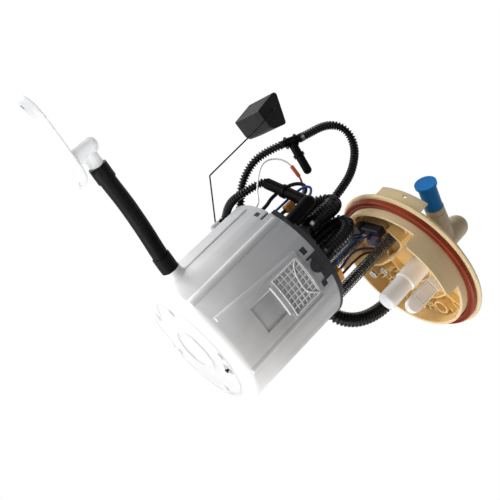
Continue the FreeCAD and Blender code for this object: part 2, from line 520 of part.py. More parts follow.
T2 = [(-69.7, -11.2, 199.0), (-66.4, -11.4, 212.0), (-63.6, -11.0, 225.2), (-57.9, -10.5, 235.4), (-49.0, -10.5, 241.1), (-38.4, -11.0, 240.3), (-28.6, -12.0, 234.1), (-21.4, -13.5, 224.8),
      (-14.3, -15.0, 210.7), (-11.3, -16.0, 196.3), (-9.5, -16.0, 183.2), (-8.0, -14.0, 166.0), (-5.0, -4.0, 148.0), (-2.0, 10.0, 132.0), (-2.0, 10.0, 118.0)]
t_a, t_b = V(*T1[-1]), V(*T2[0])
node("thin_hose_lower", cut(tube(T1, q("thin_hose_rad"), tag="thin_hose_lower"), rod(tuple(t_a), tuple(t_b), 4.6)))
node("thin_hose_upper", cut(tube(T2, q("thin_hose_rad"), tag="thin_hose_upper"), rod(tuple(t_a), tuple(t_b), 4.6)))
t_dir = t_b - t_a
t_mid = t_a + t_dir * 0.5
br = V(28.7, 0.0, -8.1)
br.normalize()
tee = fuse(rod(tuple(t_a), tuple(t_b), 3.2), rod(tuple(t_a + t_dir * 0.25), tuple(t_a + t_dir * 0.75), 4.2), rod(tuple(t_mid), tuple(t_mid + br * 29.6), 3.9),
           rod(tuple(t_mid + br * 13.0), tuple(t_mid + br * 15.8), 5.1), ball(3.9, tuple(t_mid + br * 29.6)),
           rod(tuple(t_a + t_dir * 0.12), tuple(t_a + t_dir * 0.18), 5.6), rod(tuple(t_a + t_dir * 0.80), tuple(t_a + t_dir * 0.86), 5.6))
node("tee_fitting", cut(tee, rod(tuple(t_mid + br * 8.0), tuple(t_mid + br * 36.0), 1.8)))
H2 = [tuple(AX[3]), tuple(AX[3] + LD * 4.0), (-65.0, -17.5, 132.0), (-67.0, -12.0, 124.5), (-69.2, -5.0, 118.5), (-69.4, 4.0, 114.5), (-67.6, 14.0, 112.0), (-63.15, 22.98, 108.5), (-63.15, 22.98, 101.0)]
node("drain_hose", tube(H2, q("thin_hose_rad"), tag="drain_hose"))

# band clamps, one solid each
clampA = fuse(ring(7.55, 8.3, 128.5, 6.0, at=(-7.6, -43.0)), box(3.6, 2.2, 4.4, (-10.2, -52.6, 129.3)))
clampB = ring(7.55, 8.2, 120.0, 4.5, at=(16.5, -46.5))
cT = V(*T2[1]) - V(*T2[0])
cT.normalize()
clampT = cut(rod(tuple(V(*T2[0]) + cT * 1.0), tuple(V(*T2[0]) + cT * 5.0), 4.1), rod(tuple(V(*T2[0]) + cT * 0.0), tuple(V(*T2[0]) + cT * 6.0), 3.45))
node("hose_clamps", group(cut(clampA, cyl(7.55, 12, (-7.6, -43.0, 125.0))), clampB, clampT))

# hose from the lid to the flange
LH = [(22.0, 48.0, 118.0), (22.0, 48.0, 127.0), (31.0, 47.0, 134.5), (47.0, 44.0, 134.5), (61.0, 41.0, 127.5), (73.0, 40.0, 127.0), (86.0, 40.0, 137.0), (94.0, 40.0, 151.0), (98.0, 39.5, 169.0), (97.0, 34.0, 190.0), (97.0, 34.0, 205.5)]
node("lower_hose", tube(LH, q("lower_hose_rad"), tag="lower_hose"))

# lid wiring: white lead into a splice and on as red, black lead, blue lead
W_WHITE = [(-50.0, -30.0, 112.0), (-50.0, -30.0, 119.0), (-59.0, -29.0, 125.5), (-68.0, -27.0, 137.0), (-74.0, -24.0, 149.0), (-73.5, -22.0, 158.0), (-68.5, -22.0, 165.0), (-61.5, -22.0, 169.5), (-55.6, -22.0, 169.8)]
W_RED = [(-44.1, -22.0, 168.2), (-36.0, -21.0, 166.0), (-29.5, -19.0, 158.0), (-30.0, -17.0, 144.0), (-31.0, -17.0, 128.0), (-31.0, -17.0, 114.5)]
W_BLACK = [(-45.0, -27.0, 114.5), (-45.0, -27.0, 124.0), (-47.2, -24.8, 133.0), (-46.5, -23.8, 144.0), (-44.5, -25.5, 154.0), (-39.5, -28.5, 161.0), (-33.5, -30.5, 162.0), (-29.5, -31.5, 155.0), (-31.3, -31.5, 145.0), (-31.3, -31.5, 114.5)]
W_BLUE = [(-36.6, -31.4, 114.5), (-36.6, -31.4, 146.0), (-35.2, -35.0, 157.0), (-31.0, -38.0, 161.5), (-26.5, -38.0, 157.0), (-25.3, -38.0, 149.0), (-25.5, -37.0, 128.0), (-25.5, -37.0, 114.5)]


def splice_body():
    return rod(W_WHITE[-1], W_RED[0], 1.7)


node("lid_wires", group(cut(tube(W_WHITE, 0.9, tag="white"), splice_body()), cut(tube(W_RED, 0.9, tag="red"), splice_body()), tube(W_BLACK, 1.7, tag="black"), tube(W_BLUE, 1.15, tag="blue")))
node("butt_splice", rounded(splice_body(), 0.5, lambda e: abs(e.Length - 2 * math.pi * 1.7) < 0.01))
node("terminal_blocks", group(rounded(zbox(12.0, 8.0, 9.0, (37.0, -42.0, 114.5), 41), 0.8, lambda e: e.Length > 5), cut(rounded(zbox(6.5, 5.0, 10.0, (-31.3, -31.5, 131.5), 20), 0.8, lambda e: e.Length > 4), cyl(1.7, 16.0, (-31.3, -31.5, 128.0)))))

# wires that cross from the lid to the flange plugs
C_BLUE = [(31.0, -39.0, 114.5), (31.0, -39.0, 122.0), (28.5, -36.0, 134.0), (28.0, -28.0, 149.0), (29.5, -18.0, 164.0), (33.0, -8.0, 177.5), (36.5, -4.0, 183.0), (36.5, -4.0, 188.5)]
C_NAVY = [(35.5, -41.0, 123.5), (35.5, -41.0, 129.0), (34.2, -37.0, 140.0), (34.5, -29.0, 151.0), (38.0, -18.5, 163.5), (44.5, -7.0, 176.0), (51.0, 2.0, 186.0), (53.0, 9.0, 196.0), (53.0, 9.0, 205.5)]
C_BLACK = [(39.5, -43.0, 123.5), (39.5, -43.0, 130.0), (40.0, -35.0, 140.0), (41.5, -26.0, 152.0), (43.5, -16.0, 164.0), (50.0, -5.0, 178.0), (56.0, 4.0, 190.0), (58.0, 12.0, 198.0), (58.0, 12.0, 205.5)]
C_DARK = [(25.0, -36.0, 114.5), (25.0, -36.0, 124.0), (23.5, -30.0, 140.0), (24.5, -20.0, 158.0), (26.5, -10.0, 173.5), (31.5, 1.0, 182.0), (31.5, 1.0, 188.5)]
node("crossing_wires", group(tube(C_BLUE, 0.9, tag="c_blue"), tube(C_NAVY, 1.3, tag="c_navy"), tube(C_BLACK, 1.1, tag="c_black"), tube(C_DARK, 1.3, tag="c_dark")))

# ---------------------------------------------------------------- pump inside the bucket
px, py = q("pump_x"), q("pump_y")
node("pump_can", ring(q("can_rad") - q("can_wall"), q("can_rad"), q("can_low"), q("can_top") - q("can_low"), at=(px, py)))
cover = fuse(cyl(17.95, 4.0, (px, py, 14.0)), cyl(4.5, 5.0, (px + 9.0, py, 9.0)))
node("pump_inlet_cover", cut(cover, cyl(2.6, 12.0, (px + 9.0, py, 8.0)), cyl(1.8, 1.2, (px, py, 17.0))))
vanes = [cyl(0.95, 6.0, (VALUES["pump_x"] + 13.4 * math.cos(math.radians(a)), VALUES["pump_y"] + 13.4 * math.sin(math.radians(a)), 17.0)) for a in range(0, 360, 15)]
node("pump_impeller", cut(cyl(q("impeller_rad"), 3.4, (px, py, 18.3)), cyl(q("shaft_rad"), 8.0, (px, py, 16.0)), *vanes))
mid = cut(cyl(17.95, 4.0, (px, py, 22.0)), cyl(4.0, 8.0, (px, py, 20.0)), cyl(2.4, 8.0, (px + 13.4, py, 20.0)))
node("pump_mid_plate", mid)
node("pump_bushings", group(ring(q("shaft_rad") + q("run_gap"), 4.0, 22.0, 4.0, at=(px, py)), ring(q("shaft_rad") + q("run_gap"), 4.0, 84.0, 4.0, at=(px, py))))
node("pump_magnets", group(ring(12.9, 17.9, 34.0, 32.0, at=(px, py), a0=20, angle=140), ring(12.9, 17.9, 34.0, 32.0, at=(px, py), a0=200, angle=140)))
winding = [box(3.4, 1.6, 40.0, (VALUES["pump_x"] + 9.4 * math.cos(math.radians(a)) + 0.8 * math.sin(math.radians(a)), VALUES["pump_y"] + 9.4 * math.sin(math.radians(a)) - 0.8 * math.cos(math.radians(a)), 32.0),
               rot=FreeCAD.Rotation(V(0, 0, 1), a)) for a in range(0, 360, 45)]
core_a = cut(cyl(q("armature_rad"), 30.0, (px, py, 35.0)), *winding)
node("pump_armature", cut(fuse(core_a, cyl(6.0, 9.0, (px, py, 65.0))), cyl(q("shaft_rad"), 60.0, (px, py, 30.0))))
node("pump_shaft", cyl(q("shaft_rad"), 69.8, (px, py, 17.2)))
node("pump_brushes", group(box(7.0, 4.0, 5.0, (VALUES["pump_x"] + 6.15, VALUES["pump_y"] - 2.0, 67.0)), box(7.0, 4.0, 5.0, (VALUES["pump_x"] - 13.15, VALUES["pump_y"] - 2.0, 67.0))))
end_cap = fuse(cyl(17.95, 8.0, (px, py, 84.0)), cyl(4.0, 10.0, (px - 9.0, py, 92.0)))
node("pump_end_cap", cut(end_cap, cyl(4.0, 4.0, (px, py, 84.0)), cyl(1.8, 2.0, (px, py, 87.5)), cyl(2.0, 20.0, (px - 9.0, py, 83.0))))
sock = rounded(cyl(21.0, 4.0, (px, py, 5.0)), 1.4, lambda e: e.Length > 50 and e.BoundBox.ZLength < 1e-3)
node("pump_inlet_strainer", cut(sock, cyl(2.6, 3.0, (px + 9.0, py, 7.0))))
node("pump_isolator", ring(q("can_rad") + 0.02, 20.4, 30.0, 54.0, at=(px, py)))
legs = [cyl(2.5, 24.0, (VALUES["pump_x"] + 31 * math.cos(math.radians(a)), VALUES["pump_y"] + 31 * math.sin(math.radians(a)), 2.5)) for a in (100, 215, 345)]
canister = fuse(cut(cyl(q("canister_rad"), q("canister_top") - q("canister_low"), (px, py, q("canister_low"))), cyl(34.2, 80.0, (px, py, 28.5))),
                ring(20.5, 22.0, 27.0, 73.0, at=(px, py)), *legs)
canister_cap = fuse(cyl(q("canister_rad"), 3.0, (px, py, q("canister_top"))), cyl(4.0, 8.0, (px, py + 26.0, 102.0)))
node("filter_canister", cut(fuse(cut(canister, cyl(20.5, 75.0, (px, py, 20.0))), canister_cap), cyl(20.5, 75.0, (px, py, 25.0)),
                            cyl(4.1, 10.0, (px - 9.0, py, 97.0)), cyl(2.0, 16.0, (px, py + 26.0, 97.0))))
node("filter_element", ring(23.5, 33.0, 29.5, 69.0, at=(px, py)))
reg = fuse(cyl(8.0, 16.0, (-46.0, 14.0, 80.0)), cyl(9.0, 2.5, (-46.0, 14.0, 88.0)), cyl(3.0, 6.0, (-46.0, 14.0, 96.0)), cyl(3.0, 5.0, (-46.0, 14.0, 75.0)))
node("pressure_regulator", cut(reg, cyl(1.5, 12.0, (-46.0, 14.0, 91.0))))
jet = fuse(cyl(4.2, 12.0, arm(47.5), axis=D), cyl(2.6, 9.0, arm(50.0)[:2] + (24.0,)))
node("jet_pump", cut(jet, cyl(2.0, 20.0, arm(45.0), axis=D)))
node("inlet_check_valve", fuse(cyl(7.4, 1.0, (VX, VY, 2.56)), cyl(1.0, 4.4, (VX, VY, -1.6)), cyl(1.8, 0.8, (VX, VY, -2.4))))

# ---------------------------------------------------------------- remote strainer on its rubber hose
LINK = [arm(68.9), arm(84.0), arm(108.0, 24.6), arm(134.0, 25.2), arm(156.0, 24.2), arm(171.5, 24.2)]
link_out = fuse(tube(LINK, q("hose_rad"), tag="link_hose"), cyl(7.75, 14.0, arm(68.9), axis=D), cyl(7.75, 13.0, arm(158.5, 24.2), axis=D))
bore_pts = [arm(68.0), arm(84.0), arm(108.0, 24.6), arm(134.0, 25.2), arm(156.0, 24.2), arm(172.5, 24.2)]
node("link_hose", cut(link_out, tube(bore_pts, q("hose_bore"), tag="link_bore")))


def stadium(t0, t1, half, z0, high):
    a, b = arm(t0 + half, z0), arm(t1 - half, z0)
    turn = math.degrees(math.atan2(D[1], D[0]))
    mid = arm((t0 + t1) / 2, z0)
    return fuse(cyl(half, high, a), cyl(half, high, b), zbox(t1 - t0 - 2 * half, 2 * half, high, mid, turn))


pan_out = rounded(stadium(167.0, 247.0, 20.0, 1.0, 8.0), 1.8, lambda e: e.BoundBox.ZMin > 8.9 and e.BoundBox.ZLength < 1e-3)
hub = fuse(cyl(7.0, 20.0, arm(187.0, 8.0)), ball(7.0, arm(187.0, 28.0)), cyl(5.9, 14.0, arm(172.2, 24.2), axis=D), cyl(4.7, 24.0, arm(158.0, 24.2), axis=D),
           cone(9.5, 7.0, 3.0, arm(187.0, 8.5)))
node("strainer_housing", cut(fuse(pan_out, hub), stadium(168.8, 245.2, 18.2, 0.0, 7.4), cyl(5.0, 24.0, arm(187.0, 5.0)), cyl(3.4, 34.0, arm(157.0, 24.2), axis=D)))
mesh_plate = stadium(167.0, 247.0, 20.0, -1.0, 2.0)
pockets = []
for i in range(5):
    for k in (-1, 1):
        t = 178.0 + i * 14.5
        pockets.append(zbox(12.3, 14.5, 3.0, arm(t, 0.2, side=8.6 * k), 207))
node("strainer_mesh", cut(mesh_plate, *pockets))

# ---------------------------------------------------------------- level sender on the bucket's back wall
bracket = cut(box(22.0, 18.0, 30.0, (-46.0, 38.0, 72.0)), cyl(q("bucket_rad"), 120.0, (0, 0, 0)))
case = cut(rounded(box(28.0, 9.0, 40.0, (-49.0, 56.0, 68.0)), 1.5, lambda e: e.BoundBox.YLength > 8), cyl(q("bucket_rad") + 0.3, 120.0, (0, 0, 0)))
pin = cyl(2.0, 9.5, (q("pivot_x"), 64.5, q("pivot_z")), axis=(0, 1, 0))
node("sender_housing", fuse(bracket, case, pin))
node("sender_card", box(20.0, 0.8, 11.0, (-45.0, 65.0, 94.0)))
hub_s = cut(cyl(4.8, 5.0, (q("pivot_x"), 67.5, q("pivot_z")), axis=(0, 1, 0)), cyl(q("run_gap") + 2.0, 8.0, (q("pivot_x"), 66.5, q("pivot_z")), axis=(0, 1, 0)))
FD = V(-0.2756, 0.9436, -0.1834)
FD.normalize()
FH = V(-113.4, 70.0, 248.9)
FA = [(-35.0 - 3.2, 70.0, 89.0 + 2.6), (-65.0, 70.0, 113.4), (-106.5, 70.0, 146.5), (-109.8, 70.0, 221.9), tuple(FH), tuple(FH + FD * 42.0)]


def bent(points, rad, bend):
    return tube(points, rad, radius=bend)


wire = cut(bent(FA, q("wire_rad"), 2.2), cyl(4.8, 8.0, (q("pivot_x"), 66.5, q("pivot_z")), axis=(0, 1, 0)))
node("float_wire", wire)
node("sender_hub", hub_s)
node("sender_wiper", box(1.6, 0.6, 9.0, (-35.8, 67.6, 93.85)))
b = doc.addObject("PartDesign::Body", nm("body"))
s = sketch_on(b, "XZ_Plane", [(-13.1, 18.7), (-8.6, -16.0), (14.6, -15.3), (20.8, 5.1)])
p = b.newObject("PartDesign::Pad", nm("pad"))
p.Profile = s
bind(p, "Length", q("float_long"))
p.Reversed = True
b.Tip = p
place(b, tuple(FH + FD * 5.0), rot=FreeCAD.Rotation(V(0, 1, 0), FD))
body_f = rounded(b, 3.5, lambda e: e.BoundBox.YLength > 38 and e.BoundBox.ZMax > 245)
body_f = rounded(body_f, 8.0, lambda e: e.BoundBox.YLength > 38 and e.BoundBox.ZMax < 240 and e.BoundBox.XMax > -105)
body_f = rounded(body_f, 1.5, lambda e: e.BoundBox.YLength > 38 and e.BoundBox.ZMax < 240 and e.BoundBox.XMax < -118)
node("float", cut(body_f, cyl(q("wire_rad") + 0.05, 39.0, tuple(FH + FD * 4.9), axis=tuple(FD))))

# ---------------------------------------------------------------- check and write
doc.recompute()
bad = []
for o in doc.Objects:
    if "Invalid" in o.State or "Error" in o.State:
        bad.append((o.Name, o.State))
for name, o in NODES:
    s = o.Shape
    if s.isNull() or not s.isValid() or s.Volume <= 0:
        bad.append((name, "null" if s.isNull() else "valid %s volume %.3f" % (s.isValid(), s.Volume)))
if bad:
    for x in bad:
        print("BAD", x)
    sys.exit(1)
for f in os.listdir("parts"):
    if f.endswith(".step"):
        os.remove(os.path.join("parts", f))
for name, o in NODES:
    o.Shape.exportStep("parts/%s.step" % name)
for tag, radii in RADII.items():
    print("radii", tag, radii)
for name, o in NODES:
    bb = o.Shape.BoundBox
    print("%-20s solids %2d faces %4d  x %7.1f %7.1f  y %7.1f %7.1f  z %7.1f %7.1f  vol %9.1f" % (
        name, len(o.Shape.Solids), len(o.Shape.Faces), bb.XMin, bb.XMax, bb.YMin, bb.YMax, bb.ZMin, bb.ZMax, o.Shape.Volume))
print("nodes", len(NODES))
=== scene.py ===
import json
import math
import bpy
import numpy as np
from mathutils import Matrix, Vector


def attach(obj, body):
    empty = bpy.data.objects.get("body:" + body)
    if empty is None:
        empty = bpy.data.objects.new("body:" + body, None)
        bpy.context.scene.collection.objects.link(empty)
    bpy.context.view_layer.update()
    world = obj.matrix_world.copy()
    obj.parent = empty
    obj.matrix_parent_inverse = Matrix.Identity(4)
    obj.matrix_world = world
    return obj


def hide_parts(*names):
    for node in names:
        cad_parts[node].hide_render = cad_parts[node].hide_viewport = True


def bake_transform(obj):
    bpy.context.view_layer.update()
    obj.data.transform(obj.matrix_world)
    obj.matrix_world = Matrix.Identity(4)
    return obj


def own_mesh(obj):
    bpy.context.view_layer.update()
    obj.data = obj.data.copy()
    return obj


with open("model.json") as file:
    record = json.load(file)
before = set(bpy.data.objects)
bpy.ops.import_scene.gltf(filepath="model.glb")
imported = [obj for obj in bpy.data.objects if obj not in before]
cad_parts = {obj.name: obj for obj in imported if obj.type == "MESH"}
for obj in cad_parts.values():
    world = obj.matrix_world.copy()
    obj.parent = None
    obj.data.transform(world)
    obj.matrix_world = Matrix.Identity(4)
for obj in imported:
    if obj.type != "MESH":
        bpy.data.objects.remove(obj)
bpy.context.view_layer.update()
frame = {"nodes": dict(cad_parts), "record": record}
nodes = frame["nodes"]

# The reservoir is laid out about its own axis and bottom, in mm; row() puts such a point in the row frame, in metres.
BUCKET = (-79.5, 0.0, -199.0)


def row(p):
    return Vector(((p[0] + BUCKET[0]) / 1000.0, (p[1] + BUCKET[1]) / 1000.0, (p[2] + BUCKET[2]) / 1000.0))


# ------------------------------------------------------------------ materials
class Nodes:
    """Small helper round a material's node tree."""

    def __init__(self, name):
        self.mat = bpy.data.materials.new(name)
        self.mat.use_nodes = True
        self.t = self.mat.node_tree
        self.t.nodes.clear()
        self.out = self.t.nodes.new("ShaderNodeOutputMaterial")
        self.bsdf = self.t.nodes.new("ShaderNodeBsdfPrincipled")
        self.t.links.new(self.bsdf.outputs[0], self.out.inputs[0])
        self.coord = self.t.nodes.new("ShaderNodeTexCoord").outputs["Object"]

    def link(self, a, b):
        self.t.links.new(a, b)

    def mapping(self, scale=(1, 1, 1), rot=(0, 0, 0)):
        m = self.t.nodes.new("ShaderNodeMapping")
        m.inputs["Scale"].default_value = scale
        m.inputs["Rotation"].default_value = rot
        self.link(self.coord, m.inputs["Vector"])
        return m.outputs[0]

    def noise(self, scale, detail=4.0, rough=0.55, vec=None):
        n = self.t.nodes.new("ShaderNodeTexNoise")
        n.inputs["Scale"].default_value = scale
        n.inputs["Detail"].default_value = detail
        n.inputs["Roughness"].default_value = rough
        self.link(vec if vec is not None else self.coord, n.inputs["Vector"])
        return n.outputs["Fac"]

    def ramp(self, fac, stops):
        r = self.t.nodes.new("ShaderNodeValToRGB")
        el = r.color_ramp.elements
        while len(el) > 1:
            el.remove(el[-1])
        for i, (pos, col) in enumerate(stops):
            e = el[0] if i == 0 else el.new(pos)
            e.position = pos
            e.color = tuple(col) + (1.0,) if len(col) == 3 else col
        self.link(fac, r.inputs[0])
        return r.outputs[0]

    def map_range(self, value, a, b, c=0.0, d=1.0, smooth=False):
        m = self.t.nodes.new("ShaderNodeMapRange")
        if smooth:
            m.interpolation_type = "SMOOTHSTEP"
        m.inputs["From Min"].default_value = a
        m.inputs["From Max"].default_value = b
        m.inputs["To Min"].default_value = c
        m.inputs["To Max"].default_value = d
        self.link(value, m.inputs["Value"])
        return m.outputs[0]

    def mix(self, fac, a, b, kind="MIX"):
        m = self.t.nodes.new("ShaderNodeMix")
        m.data_type = "RGBA"
        m.blend_type = kind
        for sock, val in ((m.inputs[0], fac), (m.inputs[6], a), (m.inputs[7], b)):
            if isinstance(val, (tuple, list)):
                sock.default_value = tuple(val) + (1.0,) if len(val) == 3 else val
            elif isinstance(val, (int, float)):
                sock.default_value = val
            else:
                self.link(val, sock)
        return m.outputs[2]

    def math(self, op, a, b=None):
        m = self.t.nodes.new("ShaderNodeMath")
        m.operation = op
        for sock, val in ((m.inputs[0], a), (m.inputs[1], b)):
            if val is None:
                continue
            if isinstance(val, (int, float)):
                sock.default_value = val
            else:
                self.link(val, sock)
        return m.outputs[0]

    def xyz(self):
        s = self.t.nodes.new("ShaderNodeSeparateXYZ")
        self.link(self.coord, s.inputs[0])
        return s.outputs

    def bump(self, height, strength, distance=0.001):
        b = self.t.nodes.new("ShaderNodeBump")
        b.inputs["Strength"].default_value = strength
        b.inputs["Distance"].default_value = distance
        self.link(height, b.inputs["Height"])
        self.link(b.outputs[0], self.bsdf.inputs["Normal"])
        return b

    def put(self, socket, value):
        s = self.bsdf.inputs[socket]
        if isinstance(value, (tuple, list)):
            s.default_value = tuple(value) + (1.0,) if len(s.default_value) == 4 and len(value) == 3 else value
        elif isinstance(value, (int, float)):
            s.default_value = value
        else:
            self.link(value, s)


def moulded(name, dark, light, rough=(0.38, 0.55), grain=2600.0, depth=0.12, cloud=28.0, coat=0.0, soft=0.0, spec=0.5):
    """Injection-moulded plastic or rubber: faint clouding, fine surface grain, uneven gloss."""
    n = Nodes(name)
    c = n.noise(cloud, 5.0)
    n.put("Base Color", n.ramp(c, [(0.32, dark), (0.70, light)]))
    g = n.noise(grain, 3.0)
    r = n.noise(cloud * 4.0, 3.0)
    n.put("Roughness", n.map_range(r, 0.3, 0.7, rough[0], rough[1]))
    n.bump(g, depth, 0.0004)
    n.put("Specular IOR Level", spec)
    if coat:
        n.put("Coat Weight", coat)
        n.put("Coat Roughness", 0.2)
    if soft:
        n.put("Subsurface Weight", soft)
        n.put("Subsurface Radius", (0.006, 0.005, 0.004))
        n.put("Subsurface Scale", 1.0)
    return n


def metal(name, dark, light, rough=(0.18, 0.34), stretch=(60.0, 60.0, 2500.0)):
    n = Nodes(name)
    streak = n.noise(1.0, 4.0, vec=n.mapping(scale=stretch))
    n.put("Base Color", n.ramp(streak, [(0.3, dark), (0.7, light)]))
    n.put("Metallic", 1.0)
    n.put("Roughness", n.map_range(streak, 0.3, 0.7, rough[0], rough[1]))
    n.bump(streak, 0.10, 0.0002)
    return n


M = {}
# beige flange: warm, with a painted glow inside the skirt: more amber there, standing in for light that goes through
# the plastic
n = Nodes("beige_plastic")
x, y, z = n.xyz()
rad = n.math("SQRT", n.math("ADD", n.math("MULTIPLY", x, x), n.math("MULTIPLY", y, y)))
inside = n.map_range(rad, 0.0634, 0.0640, 1.0, 0.0)
under = n.map_range(z, 0.0070, 0.0080, 1.0, 0.0)
glow_mask = n.math("MULTIPLY", inside, under)
cloud = n.noise(22.0, 5.0)
outer_col = n.ramp(cloud, [(0.30, (0.62, 0.475, 0.265)), (0.70, (0.72, 0.575, 0.350))])
glow_and_shade_col = n.ramp(cloud, [(0.30, (0.74, 0.47, 0.16)), (0.70, (0.86, 0.62, 0.27))])
# painted shade: the amber inside turns brown towards -x, where the underside by the connectors lies in shadow
glow_and_shade_col = n.mix(n.map_range(x, -0.048, 0.008, 0.62, 0.0, True), glow_and_shade_col, (0.40, 0.285, 0.145))
flow = n.noise(1.0, 3.0, vec=n.mapping(scale=(40.0, 40.0, 260.0)))
col = n.mix(glow_mask, outer_col, glow_and_shade_col)
# painted shade: parts standing above the flange face are darkened, for the shadow the flange throws on them from below
riser_shade = n.map_range(z, 0.0100, 0.0160, 0.0, 1.0)
col = n.mix(riser_shade, col, (0.50, 0.405, 0.275))
n.put("Base Color", n.mix(n.map_range(flow, 0.35, 0.75, 0.0, 0.16), col, (0.88, 0.76, 0.54)))
n.put("Specular IOR Level", 0.32)
n.put("Roughness", n.map_range(n.noise(90.0, 3.0), 0.3, 0.7, 0.36, 0.52))
n.bump(n.noise(2400.0, 3.0), 0.10, 0.0004)
n.put("Subsurface Weight", 0.18)
n.put("Subsurface Radius", (0.010, 0.006, 0.003))
n.put("Subsurface Scale", 0.6)
M["beige_plastic"] = n.mat
M["white_plastic"] = moulded("white_plastic", (0.86, 0.85, 0.84), (0.94, 0.93, 0.92), rough=(0.30, 0.45), soft=0.3).mat
M["strainer_white"] = moulded("strainer_white", (0.92, 0.93, 0.94), (0.97, 0.97, 0.98), rough=(0.32, 0.48), soft=0.1).mat

# milky reservoir: greyer towards the lid and whiter at the bottom; partly the dark parts standing behind the wall,
# partly painted light and shade: whiter low where the light from below falls, greyer higher up as it fades
n = Nodes("translucent_white")
x, y, z = n.xyz()
up = n.map_range(z, -0.199, -0.092, 0.0, 1.0)
cloud = n.noise(14.0, 4.0)
shade_height = n.math("ADD", up, n.map_range(cloud, 0.3, 0.7, -0.10, 0.10))
# painted shade: the ramp darkens the wall with height, from near white at the bottom to grey at the lid
col = n.ramp(shade_height, [(0.0, (0.93, 0.93, 0.93)), (0.09, (0.88, 0.88, 0.88)), (0.17, (0.77, 0.765, 0.765)), (0.245, (0.655, 0.648, 0.645)), (0.32, (0.565, 0.56, 0.56)), (0.47, (0.44, 0.44, 0.445)), (1.0, (0.325, 0.33, 0.345))])
streak = n.noise(1.0, 3.0, rough=0.5, vec=n.mapping(scale=(95.0, 95.0, 3.5)))
depth_in = n.map_range(streak, 0.32, 0.68, 0.0, 0.22)
low = n.map_range(z, -0.199, -0.170, 0.0, 1.0)
wall = n.mix(n.math("MULTIPLY", depth_in, low), col, (0.90, 0.90, 0.91))
bx = n.math("ADD", x, 0.0795)
br = n.math("SQRT", n.math("ADD", n.math("MULTIPLY", bx, bx), n.math("MULTIPLY", y, y)))
# painted shade: the wall's shallow recess is darkened, most under its top ledge
painted_recess_shade = n.math("MULTIPLY", n.map_range(br, 0.0614, 0.0620, 1.0, 0.0), n.map_range(z, -0.1615, -0.1385, 0.0, 1.0, True))
wall = n.mix(n.math("MULTIPLY", painted_recess_shade, 0.42), wall, (0.23, 0.23, 0.25))
# painted shade: the bottom face is made greyer than the wall, toning down the light from below that falls on it
n.put("Base Color", n.mix(n.map_range(z, -0.1990, -0.1983, 1.0, 0.0, True), wall, n.ramp(cloud, [(0.35, (0.60, 0.60, 0.61)), (0.65, (0.65, 0.65, 0.65))])))
n.put("Roughness", n.map_range(n.noise(60.0, 3.0), 0.3, 0.7, 0.34, 0.50))
n.put("Subsurface Weight", 0.22)
n.put("Subsurface Radius", (0.010, 0.010, 0.010))
n.put("Subsurface Scale", 0.5)
n.bump(n.noise(900.0, 3.0), 0.06, 0.0004)
M["translucent_white"] = n.mat

M["dark_grey_plastic"] = moulded("dark_grey_plastic", (0.020, 0.020, 0.025), (0.040, 0.039, 0.046), rough=(0.42, 0.60), spec=0.35).mat
M["black_plastic"] = moulded("black_plastic", (0.0015, 0.0014, 0.0014), (0.004, 0.0036, 0.0035), rough=(0.26, 0.38), spec=0.10).mat
M["black_corrugated"] = moulded("black_corrugated", (0.0012, 0.0011, 0.0012), (0.004, 0.0036, 0.0036), rough=(0.24, 0.36), grain=1800.0, depth=0.02, spec=0.26).mat
M["black_rubber"] = moulded("black_rubber", (0.0045, 0.0040, 0.0040), (0.012, 0.010, 0.0098), rough=(0.36, 0.52), grain=1400.0, depth=0.25, cloud=60.0, spec=0.22).mat
M["red_brown_rubber"] = moulded("red_brown_rubber", (0.19, 0.024, 0.007), (0.29, 0.046, 0.013), rough=(0.40, 0.52), grain=1600.0, depth=0.2, spec=0.2).mat
M["blue_plastic"] = moulded("blue_plastic", (0.0015, 0.125, 0.40), (0.003, 0.175, 0.50), rough=(0.36, 0.48), soft=0.1, spec=0.2).mat
M["purple_plastic"] = moulded("purple_plastic", (0.055, 0.035, 0.080), (0.095, 0.060, 0.13), rough=(0.35, 0.5)).mat
M["orange_plastic"] = moulded("orange_plastic", (0.56, 0.21, 0.025), (0.76, 0.36, 0.07), rough=(0.35, 0.5), soft=0.1).mat
M["red_sleeve"] = moulded("red_sleeve", (0.50, 0.055, 0.014), (0.66, 0.10, 0.026), rough=(0.35, 0.5)).mat
M["steel"] = metal("steel", (0.50, 0.49, 0.47), (0.78, 0.77, 0.74)).mat
M["black_spring"] = moulded("black_spring", (0.011, 0.011, 0.011), (0.029, 0.028, 0.027), rough=(0.24, 0.36), depth=0.02, spec=0.4).mat
M["hose_rubber"] = moulded("hose_rubber", (0.0022, 0.0019, 0.0019), (0.0058, 0.0049, 0.0047), rough=(0.38, 0.54), grain=1400.0, depth=0.25, cloud=60.0, spec=0.13).mat
M["brass"] = metal("brass", (0.50, 0.36, 0.14), (0.80, 0.62, 0.30)).mat
M["ferrite"] = moulded("ferrite", (0.05, 0.05, 0.055), (0.10, 0.10, 0.11), rough=(0.5, 0.7)).mat
M["paper"] = moulded("paper", (0.66, 0.55, 0.36), (0.82, 0.73, 0.54), rough=(0.7, 0.85), depth=0.4).mat
M["ceramic"] = moulded("ceramic", (0.72, 0.70, 0.64), (0.86, 0.84, 0.80), rough=(0.4, 0.5)).mat

